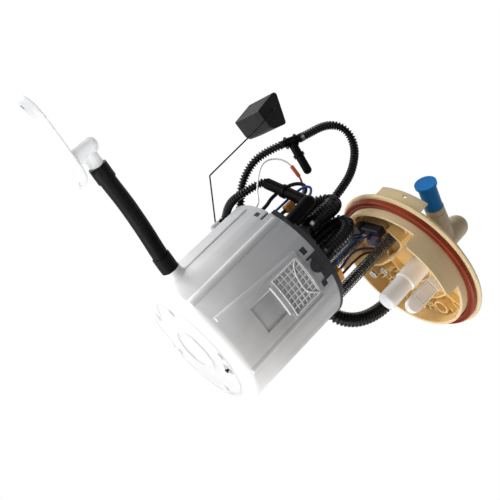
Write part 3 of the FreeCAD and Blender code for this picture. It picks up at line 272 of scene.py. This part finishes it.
# band clamps: dark bands, with painted highlights: bright patches about their screw blocks
n = Nodes("clamp_steel")
glint_mask = None
for spot, reach in (((-0.0879, -0.0515, -0.0675), 0.0019), ((-0.0655, -0.0560, -0.0765), 0.0019), ((-0.1475, -0.0150, 0.0040), 0.0028)):
    vd = n.t.nodes.new("ShaderNodeVectorMath")
    vd.operation = "DISTANCE"
    vd.inputs[1].default_value = spot
    n.link(n.coord, vd.inputs[0])
    m = n.map_range(vd.outputs["Value"], reach * 0.6, reach * 1.3, 1.0, 0.0)
    glint_mask = m if glint_mask is None else n.math("MAXIMUM", glint_mask, m)
streak = n.noise(1.0, 4.0, vec=n.mapping(scale=(300.0, 300.0, 1500.0)))
n.put("Base Color", n.mix(glint_mask, n.ramp(streak, [(0.3, (0.012, 0.012, 0.013)), (0.7, (0.045, 0.044, 0.043))]), (0.52, 0.51, 0.48)))
n.put("Metallic", 1.0)
n.put("Roughness", n.map_range(streak, 0.3, 0.7, 0.22, 0.40))
n.bump(streak, 0.15, 0.0002)
M["clamp_steel"] = n.mat

# woven mesh: two crossed sets of threads in the bump and the colour
n = Nodes("mesh_grey")
waves = []
for turn in (0.0, math.pi / 2):
    w = n.t.nodes.new("ShaderNodeTexWave")
    w.inputs["Scale"].default_value = 420.0
    w.inputs["Distortion"].default_value = 0.3
    n.link(n.mapping(rot=(0.25, turn, 0.5)), w.inputs["Vector"])
    waves.append(w.outputs["Fac"])
weave = n.math("MULTIPLY", waves[0], waves[1])
n.put("Base Color", n.ramp(weave, [(0.0, (0.60, 0.60, 0.61)), (0.6, (0.68, 0.68, 0.70))]))
n.put("Roughness", n.map_range(weave, 0.0, 1.0, 0.7, 0.5))
n.bump(weave, 0.10, 0.0002)
M["mesh_grey"] = n.mat

# side window's grid: painted shade, greyer where it goes deeper into the wall; pale at its front edges
n = Nodes("grid_white")
x, y, z = n.xyz()
bx = n.math("ADD", x, 0.0795)
br = n.math("SQRT", n.math("ADD", n.math("MULTIPLY", bx, bx), n.math("MULTIPLY", y, y)))
n.put("Base Color", n.mix(n.map_range(br, 0.0621, 0.0625), (0.50, 0.50, 0.51), n.ramp(n.noise(60.0), [(0.3, (0.68, 0.68, 0.68)), (0.7, (0.76, 0.76, 0.76))])))
n.put("Roughness", n.map_range(n.noise(90.0, 3.0), 0.3, 0.7, 0.34, 0.48))
n.bump(n.noise(2400.0, 3.0), 0.08, 0.0003)
M["grid_white"] = n.mat

# grey for the painted shade line drawn round the bucket's bottom
M["bottom_rim"] = moulded("bottom_rim", (0.50, 0.50, 0.51), (0.57, 0.57, 0.58), rough=(0.34, 0.48), soft=0.1).mat

# sender arm: dark drawn wire
M["arm_wire"] = metal("arm_wire", (0.018, 0.015, 0.013), (0.055, 0.048, 0.042), rough=(0.30, 0.45)).mat

# closed-cell foam
n = Nodes("foam_black")
cells = n.t.nodes.new("ShaderNodeTexVoronoi")
cells.inputs["Scale"].default_value = 1500.0
n.link(n.coord, cells.inputs["Vector"])
patch = n.noise(70.0, 4.0)
n.put("Base Color", n.ramp(patch, [(0.3, (0.006, 0.0055, 0.0055)), (0.7, (0.015, 0.0138, 0.0135))]))
n.put("Specular IOR Level", 0.3)
n.put("Roughness", n.map_range(patch, 0.3, 0.7, 0.52, 0.70))
n.bump(cells.outputs["Distance"], 0.12, 0.0003)
M["foam_black"] = n.mat


def lead(name, dark, light):
    M[name] = moulded(name, dark, light, rough=(0.30, 0.45), grain=1500.0).mat


lead("lead_white", (0.80, 0.80, 0.76), (0.92, 0.92, 0.88))
lead("lead_red", (0.34, 0.035, 0.020), (0.48, 0.060, 0.030))
lead("lead_black", (0.003, 0.003, 0.004), (0.006, 0.006, 0.008))
lead("lead_blue", (0.004, 0.055, 0.26), (0.010, 0.095, 0.40))
lead("lead_navy", (0.003, 0.016, 0.085), (0.006, 0.028, 0.14))

for s in frame["record"]["subparts"]:
    o = nodes[s["node"]]
    o.data.materials.clear()
    o.data.materials.append(M.get(s["material_slot"], M["black_plastic"]))
for name in ("strainer_housing", "strainer_mesh"):
    nodes[name].data.materials.clear()
    nodes[name].data.materials.append(M["strainer_white"])
nodes["hose_clamps"].data.materials.clear()
nodes["hose_clamps"].data.materials.append(M["clamp_steel"])
for name, own in (("side_filter_grid", "grid_white"), ("float_wire", "arm_wire"), ("link_hose", "hose_rubber")):
    nodes[name].data.materials.clear()
    nodes[name].data.materials.append(M[own])
for name, o in nodes.items():
    for p in o.data.polygons:
        p.use_smooth = True
    if name not in ("side_filter_grid",):
        m = o.modifiers.new("edges", "EDGE_SPLIT")
        m.split_angle = math.radians(32)


# ------------------------------------------------------------------ hoses, leads and springs
def route(points):
    """The smooth line of a route's points (mm), read from a NURBS spline, with its running length."""
    cu = bpy.data.curves.new("route", "CURVE")
    cu.dimensions = "3D"
    sp = cu.splines.new("NURBS")
    sp.points.add(len(points) - 1)
    for q, p in zip(sp.points, points):
        q.co = (p[0], p[1], p[2], 1.0)
    sp.use_endpoint_u = True
    sp.order_u = 3
    sp.resolution_u = 32
    ob = bpy.data.objects.new("route", cu)
    bpy.context.scene.collection.objects.link(ob)
    bpy.context.view_layer.update()
    me = bpy.data.meshes.new_from_object(ob)
    pts = np.array([tuple(v.co) for v in me.vertices])
    bpy.data.meshes.remove(me)
    bpy.data.objects.remove(ob)
    bpy.data.curves.remove(cu)
    seg = np.linalg.norm(np.diff(pts, axis=0), axis=1)
    pts = pts[np.concatenate([[True], seg > 1e-6])]
    s = np.concatenate([[0], np.cumsum(np.linalg.norm(np.diff(pts, axis=0), axis=1))])
    return pts, s


def frames_along(pts):
    """Unit tangents and a turned-along normal at each point."""
    t = np.gradient(pts, axis=0)
    t /= np.linalg.norm(t, axis=1)[:, None]
    n0 = np.cross(t[0], (0.31, 0.72, 0.62))
    n0 /= np.linalg.norm(n0)
    N = [n0]
    for i in range(1, len(pts)):
        v = N[-1] - t[i] * np.dot(N[-1], t[i])
        N.append(v / np.linalg.norm(v))
    N = np.array(N)
    return t, N, np.cross(t, N)


def sweep(name, pts, radii, seg, material, close=True):
    """A mesh tube through pts (mm, reservoir frame) whose radius follows radii."""
    t, N, Bn = frames_along(pts)
    a = np.linspace(0, 2 * math.pi, seg, endpoint=False)
    ringv = np.cos(a)[None, :, None] * N[:, None, :] + np.sin(a)[None, :, None] * Bn[:, None, :]
    co = (pts[:, None, :] + ringv * np.asarray(radii)[:, None, None]).reshape(-1, 3)
    co = (co + np.array(BUCKET)) / 1000.0
    m = len(pts)
    faces = []
    for i in range(m - 1):
        for j in range(seg):
            k = (j + 1) % seg
            faces.append((i * seg + j, i * seg + k, (i + 1) * seg + k, (i + 1) * seg + j))
    if close:
        faces.append(tuple(reversed(range(seg))))
        faces.append(tuple((m - 1) * seg + j for j in range(seg)))
    me = bpy.data.meshes.new(name)
    me.from_pydata([tuple(c) for c in co], [], faces)
    me.update()
    for p in me.polygons:
        p.use_smooth = len(p.vertices) == 4
    o = bpy.data.objects.new(name, me)
    bpy.context.scene.collection.objects.link(o)
    me.materials.append(material)
    return o


def even(points, step):
    pts, s = route(points)
    k = max(2, int(round(s[-1] / step)) + 1)
    u = np.linspace(0, s[-1], k)
    return np.stack([np.interp(u, s, pts[:, i]) for i in range(3)], axis=1), u


def corrugated(name, points, r_out, depth, pitch, seg, cuffs=(0.0, 0.0), crest=0.35, cuff_r=None):
    """A ribbed hose: rounded crests with narrow valleys between them, plain cuffs at the ends."""
    pts, u = even(points, pitch / 8.0)
    phase = 0.5 + 0.5 * np.cos(2 * math.pi * (u - cuffs[0]) / pitch)
    w = np.clip((phase - (0.5 - crest * 0.5)) / 0.5, 0, 1)
    w = w * w * (3 - 2 * w)
    r = r_out - depth * (1 - w)
    for lo, hi in ((-1.0, cuffs[0]), (u[-1] - cuffs[1], u[-1] + 1)):
        m = (u >= lo) & (u <= hi)
        r[m] = cuff_r if cuff_r else r_out - depth * 0.35
    return sweep(name, pts, r, seg, M["black_corrugated"])


def plain(name, points, rad_, seg, material, step=1.2):
    pts, u = even(points, step)
    return sweep(name, pts, np.full(len(u), rad_), seg, material)


HA = [(-7.6, -43.0, 126.0), (-7.6, -43.0, 138.0), (-7.2, -43.0, 149.0), (-6.2, -41.5, 160.0), (-7.0, -36.0, 166.5), (-12.5, -29.5, 164.5), (-17.5, -26.0, 156.0), (-19.5, -26.0, 145.0), (-20.0, -26.0, 132.0), (-20.0, -26.0, 119.0)]
HB = [(16.5, -46.5, 118.0), (16.5, -46.5, 131.0), (17.2, -46.0, 144.0), (15.5, -42.5, 156.0), (11.0, -37.0, 161.0), (7.0, -32.0, 155.0), (5.2, -29.5, 144.0), (4.8, -29.0, 135.0), (4.8, -29.0, 123.0)]
T1 = [(-57.5, 13.0, 117.5), (-63.5, 10.5, 124.5), (-72.0, 6.0, 131.5), (-78.8, 2.0, 143.0), (-82.6, -3.0, 157.5), (-79.8, -7.0, 173.5), (-75.0, -10.0, 186.0)]
T2 = [(-69.7, -11.2, 199.0), (-66.4, -11.4, 212.0), (-63.6, -11.0, 225.2), (-57.9, -10.5, 235.4), (-49.0, -10.5, 241.1), (-38.4, -11.0, 240.3), (-28.6, -12.0, 234.1), (-21.4, -13.5, 224.8),
      (-14.3, -15.0, 210.7), (-11.3, -16.0, 196.3), (-9.5, -16.0, 183.2), (-8.0, -14.0, 166.0), (-5.0, -4.0, 148.0), (-2.0, 10.0, 132.0), (-2.0, 10.0, 118.0)]
arm_dir = Vector((-28.6, 22.0, -1.8)).normalized()
arm_end = Vector((-30.5, -46.0, 142.0)) + arm_dir * 36.0
H2 = [tuple(arm_end), tuple(arm_end + arm_dir * 4.0), (-65.0, -17.5, 132.0), (-67.0, -12.0, 124.5), (-69.2, -5.0, 118.5), (-69.4, 4.0, 114.5), (-67.6, 14.0, 112.0), (-63.15, 22.98, 108.5), (-63.15, 22.98, 101.0)]
LH = [(22.0, 48.0, 118.0), (22.0, 48.0, 127.0), (31.0, 47.0, 134.5), (47.0, 44.0, 134.5), (61.0, 41.0, 127.5), (73.0, 40.0, 127.0), (86.0, 40.0, 137.0), (94.0, 40.0, 151.0), (98.0, 39.5, 169.0), (97.0, 34.0, 190.0), (97.0, 34.0, 205.5)]

for name, pts, r_out, depth, pitch, seg, cuffs in (
        ("thick_hose_left", HA, 7.8, 1.45, 3.1, 44, (12.0, 2.0)),
        ("thick_hose_right", HB, 7.7, 1.35, 3.1, 44, (9.0, 2.0)),
        ("thin_hose_lower", T1, 3.95, 1.3, 2.75, 28, (3.0, 3.0)),
        ("thin_hose_upper", T2, 3.95, 1.3, 2.75, 28, (5.5, 3.0)),
        ("drain_hose", H2, 3.85, 1.25, 2.7, 28, (2.0, 3.0))):
    o = corrugated(name + "_ribbed", pts, r_out, depth, pitch, seg, cuffs)
    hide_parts(name)
    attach(o, "reservoir")

hose = corrugated("lower_hose_ribbed", LH, 7.0, 1.5, 3.2, 40, (4.0, 3.0))
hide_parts("lower_hose")
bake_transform(hose)

W_WHITE = [(-50.0, -30.0, 112.0), (-50.0, -30.0, 119.0), (-59.0, -29.0, 125.5), (-68.0, -27.0, 137.0), (-74.0, -24.0, 149.0), (-73.5, -22.0, 158.0), (-68.5, -22.0, 165.0), (-61.5, -22.0, 169.5), (-55.6, -22.0, 169.8)]
W_RED = [(-44.1, -22.0, 168.2), (-36.0, -21.0, 166.0), (-29.5, -19.0, 158.0), (-30.0, -17.0, 144.0), (-31.0, -17.0, 128.0), (-31.0, -17.0, 114.5)]
W_BLACK = [(-45.0, -27.0, 114.5), (-45.0, -27.0, 124.0), (-47.2, -24.8, 133.0), (-46.5, -23.8, 144.0), (-44.5, -25.5, 154.0), (-39.5, -28.5, 161.0), (-33.5, -30.5, 162.0), (-29.5, -31.5, 155.0), (-31.3, -31.5, 145.0), (-31.3, -31.5, 114.5)]
W_BLUE = [(-36.6, -31.4, 114.5), (-36.6, -31.4, 146.0), (-35.2, -35.0, 157.0), (-31.0, -38.0, 161.5), (-26.5, -38.0, 157.0), (-25.3, -38.0, 149.0), (-25.5, -37.0, 128.0), (-25.5, -37.0, 114.5)]
for name, pts, rad_, material in (("white", W_WHITE, 0.72, "lead_white"), ("red", W_RED, 0.9, "lead_red"), ("black", W_BLACK, 1.65, "lead_black"), ("blue", W_BLUE, 1.12, "lead_blue")):
    o = plain("lid_lead_" + name, pts, rad_, 14, M[material])
    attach(o, "reservoir")
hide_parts("lid_wires")

C_BLUE = [(31.0, -39.0, 114.5), (31.0, -39.0, 122.0), (28.5, -36.0, 134.0), (28.0, -28.0, 149.0), (29.5, -18.0, 164.0), (33.0, -8.0, 177.5), (36.5, -4.0, 183.0), (36.5, -4.0, 188.5)]
C_NAVY = [(35.5, -41.0, 123.5), (35.5, -41.0, 129.0), (34.2, -37.0, 140.0), (34.5, -29.0, 151.0), (38.0, -18.5, 163.5), (44.5, -7.0, 176.0), (51.0, 2.0, 186.0), (53.0, 9.0, 196.0), (53.0, 9.0, 205.5)]
C_BLACK = [(39.5, -43.0, 123.5), (39.5, -43.0, 130.0), (40.0, -35.0, 140.0), (41.5, -26.0, 152.0), (43.5, -16.0, 164.0), (50.0, -5.0, 178.0), (56.0, 4.0, 190.0), (58.0, 12.0, 198.0), (58.0, 12.0, 205.5)]
C_DARK = [(25.0, -36.0, 114.5), (25.0, -36.0, 124.0), (23.5, -30.0, 140.0), (24.5, -20.0, 158.0), (26.5, -10.0, 173.5), (31.5, 1.0, 182.0), (31.5, 1.0, 188.5)]
cross = []
for name, pts, rad_, material in (("blue", C_BLUE, 0.9, "lead_blue"), ("navy", C_NAVY, 1.2, "lead_navy"), ("black", C_BLACK, 1.05, "lead_black"), ("dark", C_DARK, 1.2, "lead_navy")):
    o = plain("crossing_lead_" + name, pts, rad_, 14, M[material])
    cross.append(o)
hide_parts("crossing_wires")
for o in cross:
    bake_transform(o)


def spring(name, cx, cy, z0, z1, mean, wire, pitch):
    """A helix of even pitch from z0 to z1 (mm, reservoir frame)."""
    turns = (z1 - z0 - 2 * wire) / pitch
    k = int(turns * 22)
    a = np.linspace(0, turns * 2 * math.pi, k)
    zz = np.linspace(z0 + wire, z1 - wire, k)
    pts = np.stack([cx + mean * np.cos(a), cy + mean * np.sin(a), zz], axis=1)
    return sweep(name, pts, np.full(k, wire), 8, M["black_spring"])


springs = []
for tag, cx, cy in (("front", 51.5, -19.5), ("rear", 35.5, 33.0)):
    o = spring("guide_spring_" + tag, cx, cy, 116.0, 199.0, 4.6, 0.50, 2.2)
    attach(o, "flange")
    springs.append(o)
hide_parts("guide_springs")
for o in springs:
    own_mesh(o)

# moulded arc across the side window
arc = []
line, run = route([(a, b, 0.0) for a, b in ((-88.5, 94.2), (-86.6, 89.0), (-79.5, 84.6), (-69.0, 82.9), (-61.6, 85.4), (-56.0, 93.6))])
for t in np.linspace(0, run[-1], 48):
    az, zz = np.interp(t, run, line[:, 0]), np.interp(t, run, line[:, 1])
    arc.append((63.1 * math.cos(math.radians(az)), 63.1 * math.sin(math.radians(az)), zz))
arc_o = sweep("window_arc", np.array(arc), np.full(48, 0.55), 10, M["white_plastic"])
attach(arc_o, "reservoir")




def wall_highlight_line(name, ends, r_at, radii, k=24, slot_name="white_plastic"):
    """A white bead on the bucket's wall between two (azimuth, height) points: a painted highlight along an edge that
    catches light.
    """
    (a0, z0), (a1, z1) = ends
    pts = [(r_at * math.cos(math.radians(a)), r_at * math.sin(math.radians(a)), zz) for a, zz in zip(np.linspace(a0, a1, k), np.linspace(z0, z1, k))]
    o = sweep(name, np.array(pts), np.linspace(radii[0], radii[1], k), 10, M[slot_name])
    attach(o, "reservoir")
    return o


# painted highlights: white beads round the side window's frame, where its edges catch light
for side, ends, radii in (("low", ((-88.7, 65.8), (-55.9, 65.8)), (0.62, 0.62)), ("left", ((-88.7, 65.8), (-88.7, 94.2)), (0.5, 0.5)),
                          ("right", ((-55.9, 65.8), (-55.9, 94.2)), (0.5, 0.5)), ("top", ((-88.7, 94.2), (-55.9, 94.2)), (0.35, 0.35))):
    wall_highlight_line("window_highlight_" + side, ends, 63.5, radii)
# painted shade: a grey line round the bucket's bottom, with three inward dips, stands in for the shaded edge of a step
# in its floor
floor_line = []
for a in np.linspace(0.0, 360.0, 145):
    dips = 8.0 * math.exp(-((a - 118.0) / 17.0) ** 2) + 10.0 * math.exp(-((a - 172.0) / 15.0) ** 2) + 6.0 * math.exp(-((a - 222.0) / 12.0) ** 2)
    floor_line.append(((50.5 - dips) * math.cos(math.radians(a)), (50.5 - dips) * math.sin(math.radians(a)), 0.0))
bottom_shade_line = sweep("bottom_step_shade", np.array(floor_line), np.full(len(floor_line), 0.4), 10, M["bottom_rim"], close=False)
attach(bottom_shade_line, "reservoir")
# painted highlight: a white bead along the ledge under the window, whose underside catches light from below
wall_highlight_line("window_ledge_highlight", ((-86.4, 61.3), (-60.6, 61.3)), 62.9, (0.95, 0.95))

# ------------------------------------------------------------------ fine mouldings under the flange
def walls(name, lines, wide, z0, z1, material):
    """Thin upright ribs along lines of (x, y) in the row frame, mm, with softened lower edges."""
    verts, faces = [], []
    for pts in lines:
        pts = np.array(pts, dtype=float)
        t = np.gradient(pts, axis=0)
        t /= np.linalg.norm(t, axis=1)[:, None]
        nrm = np.stack([-t[:, 1], t[:, 0]], axis=1)
        section = ((-0.5, 0.0, z1), (-0.5, 0.0, z0 + 0.4), (-0.28, 0.0, z0 + 0.06), (0.0, 0.0, z0), (0.28, 0.0, z0 + 0.06), (0.5, 0.0, z0 + 0.4), (0.5, 0.0, z1))
        base = len(verts)
        for p, q in zip(pts, nrm):
            for off, _, zz in section:
                verts.append(((p[0] + q[0] * off * wide) / 1000.0, (p[1] + q[1] * off * wide) / 1000.0, zz / 1000.0))
        k = len(section)
        for i in range(len(pts) - 1):
            for j in range(k):
                a, b = base + i * k + j, base + i * k + (j + 1) % k
                faces.append((a, b, b + k, a + k))
        faces.append(tuple(base + j for j in reversed(range(k))))
        faces.append(tuple(base + (len(pts) - 1) * k + j for j in range(k)))
    me = bpy.data.meshes.new(name)
    me.from_pydata(verts, [], faces)
    me.update()
    o = bpy.data.objects.new(name, me)
    bpy.context.scene.collection.objects.link(o)
    me.materials.append(material)
    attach(o, "flange")
    return o


def arc_line(rad_, a0, a1, at=(0.0, 0.0), k=14):
    return [(at[0] + rad_ * math.cos(math.radians(a)), at[1] + rad_ * math.sin(math.radians(a))) for a in np.linspace(a0, a1, k)]


def ray_line(az, r0, r1):
    c, s_ = math.cos(math.radians(az)), math.sin(math.radians(az))
    return [(r0 * c, r0 * s_), ((r0 + r1) / 2 * c, (r0 + r1) / 2 * s_), (r1 * c, r1 * s_)]


cells = [arc_line(54.0, 72.0, 97.0), arc_line(46.5, 76.0, 94.0), arc_line(7.2, -60.0, 120.0, at=(-4.6, 30.8))]
cells += [ray_line(a, 54.5, 63.2) for a in (72.5, 80.5, 88.5, 96.5)]
cells += [ray_line(a, 47.0, 53.5) for a in (76.5, 83.0, 89.5)]
cells += [ray_line(a, 39.0, 46.0) for a in (81.0, 90.5)]
cells += [ray_line(a, 50.0, 62.5) for a in (20.5, 27.0, 33.5, 40.0)] + [ray_line(a, 55.5, 63.2) for a in (-4.0, 6.0)]
cells += [arc_line(56.5, 22.0, 41.0), ray_line(52.0, 54.0, 63.2), ray_line(60.0, 56.0, 63.2), ray_line(118.0, 52.0, 63.2), ray_line(132.0, 54.0, 63.2), ray_line(145.0, 54.0, 63.2), ray_line(160.0, 54.0, 63.2)]
walls("flange_pockets", cells, 1.25, 0.6, 6.6, M["beige_plastic"])

# raised outline on the side chamber's broad face
frame_pts = np.array([(24.0 + 79.5, -9.55, -25.0 + 199.0), (34.0 + 79.5, -9.55, -25.0 + 199.0), (34.0 + 79.5, -9.55, -6.0 + 199.0), (24.0 + 79.5, -9.55, -6.0 + 199.0), (24.0 + 79.5, -9.55, -25.0 + 199.0)])
side_line = sweep("chamber_outline", frame_pts, np.full(5, 0.45), 8, M["white_plastic"])
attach(side_line, "flange")

# painted highlight: a white bead down the left of the wall's recess, where its edge catches light
edge = [(62.35 * math.cos(math.radians(-85.4)), 62.35 * math.sin(math.radians(-85.4)), zz) for zz in np.linspace(39.0, 60.2, 16)]
recess_highlight = sweep("recess_highlight_bead", np.array(edge), np.linspace(0.12, 0.55, 16), 10, M["white_plastic"])
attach(recess_highlight, "reservoir")

# ------------------------------------------------------------------ camera and light
scene = bpy.context.scene
cam_data = bpy.data.cameras.new("camera")
cam_data.sensor_width = 36.0
cam_data.lens = 61.2
cam = bpy.data.objects.new("camera", cam_data)
scene.collection.objects.link(cam)
X = Vector((0.6947, -0.2611, 0.6703))
Z = Vector((0.0, -0.9318, -0.3629))
X = (X - Z * X.dot(Z)).normalized()
Z.normalize()
Y = Z.cross(X)
cam.matrix_world = Matrix.Translation(Vector((-0.1075, -0.6852, -0.3700))) @ Matrix((X, Y, Z)).transposed().to_4x4()
scene.camera = cam

world = bpy.data.worlds.new("world")
world.use_nodes = True
wt = world.node_tree
wt.nodes.clear()
wo = wt.nodes.new("ShaderNodeOutputWorld")
mixs = wt.nodes.new("ShaderNodeMixShader")
lp = wt.nodes.new("ShaderNodeLightPath")
amb = wt.nodes.new("ShaderNodeBackground")
amb.inputs[0].default_value = (1.0, 1.0, 1.0, 1.0)
# a bright wall behind the object and a dim room on the near side
tc = wt.nodes.new("ShaderNodeTexCoord")
dot = wt.nodes.new("ShaderNodeVectorMath")
dot.operation = "DOT_PRODUCT"
dot.inputs[1].default_value = (0.0, 0.93, 0.36)
wt.links.new(tc.outputs["Generated"], dot.inputs[0])
mr = wt.nodes.new("ShaderNodeMapRange")
mr.inputs["From Min"].default_value = -0.35
mr.inputs["From Max"].default_value = 0.75
mr.inputs["To Min"].default_value = 0.10
mr.inputs["To Max"].default_value = 0.95
wt.links.new(dot.outputs["Value"], mr.inputs["Value"])
wt.links.new(mr.outputs[0], amb.inputs[1])
seen = wt.nodes.new("ShaderNodeBackground")
seen.inputs[0].default_value = (1.0, 1.0, 1.0, 1.0)
seen.inputs[1].default_value = 1.0
wt.links.new(lp.outputs["Is Camera Ray"], mixs.inputs[0])
wt.links.new(amb.outputs[0], mixs.inputs[1])
wt.links.new(seen.outputs[0], mixs.inputs[2])
wt.links.new(mixs.outputs[0], wo.inputs[0])
scene.world = world


def area(name, at, look, size, watts, colour=(1, 1, 1)):
    d = bpy.data.lights.new(name, "AREA")
    d.shape = "RECTANGLE"
    d.size, d.size_y = size
    d.energy = watts
    d.color = colour
    o = bpy.data.objects.new(name, d)
    scene.collection.objects.link(o)
    o.location = at
    o.rotation_mode = "QUATERNION"
    o.rotation_quaternion = (Vector(look) - Vector(at)).to_track_quat("-Z", "Y")
    return o


area("below", (-0.20, -0.10, -0.85), (-0.12, 0.0, -0.20), (0.6, 0.6), 5.0)
area("left", (-0.88, 0.22, -0.24), (-0.15, 0.0, -0.12), (0.5, 0.5), 7.0)
area("far_left", (-0.78, -0.55, -0.50), (-0.29, -0.10, -0.18), (0.25, 0.25), 1.6)
area("front", (0.00, -1.0, 0.15), (-0.05, 0.0, -0.08), (0.4, 0.4), 0.9)
area("right", (0.74, -0.02, -0.38), (0.0, 0.0, -0.05), (0.35, 0.35), 3.6, (1.0, 0.97, 0.93))

fill = area("strainer_fill", (-0.16, -0.34, -0.28), (-0.265, -0.10, -0.19), (0.12, 0.12), 0.038)
fill.data.spread = math.radians(50.0)

scene.view_settings.view_transform = "Standard"
scene.view_settings.look = "None"
scene.view_settings.exposure = 0.0

# pale floor, well below the camera, which looks up at the hanging module
fl = bpy.data.meshes.new("floor")
fl.from_pydata([(-2.5, -2.5, -1.15), (2.5, -2.5, -1.15), (2.5, 2.5, -1.15), (-2.5, 2.5, -1.15)], [], [(0, 1, 2, 3)])
floor = bpy.data.objects.new("floor", fl)
scene.collection.objects.link(floor)
fl.materials.append(moulded("floor_pale", (0.78, 0.78, 0.78), (0.82, 0.82, 0.82), rough=(0.7, 0.8), grain=40.0, depth=0.02, cloud=1.5).mat)
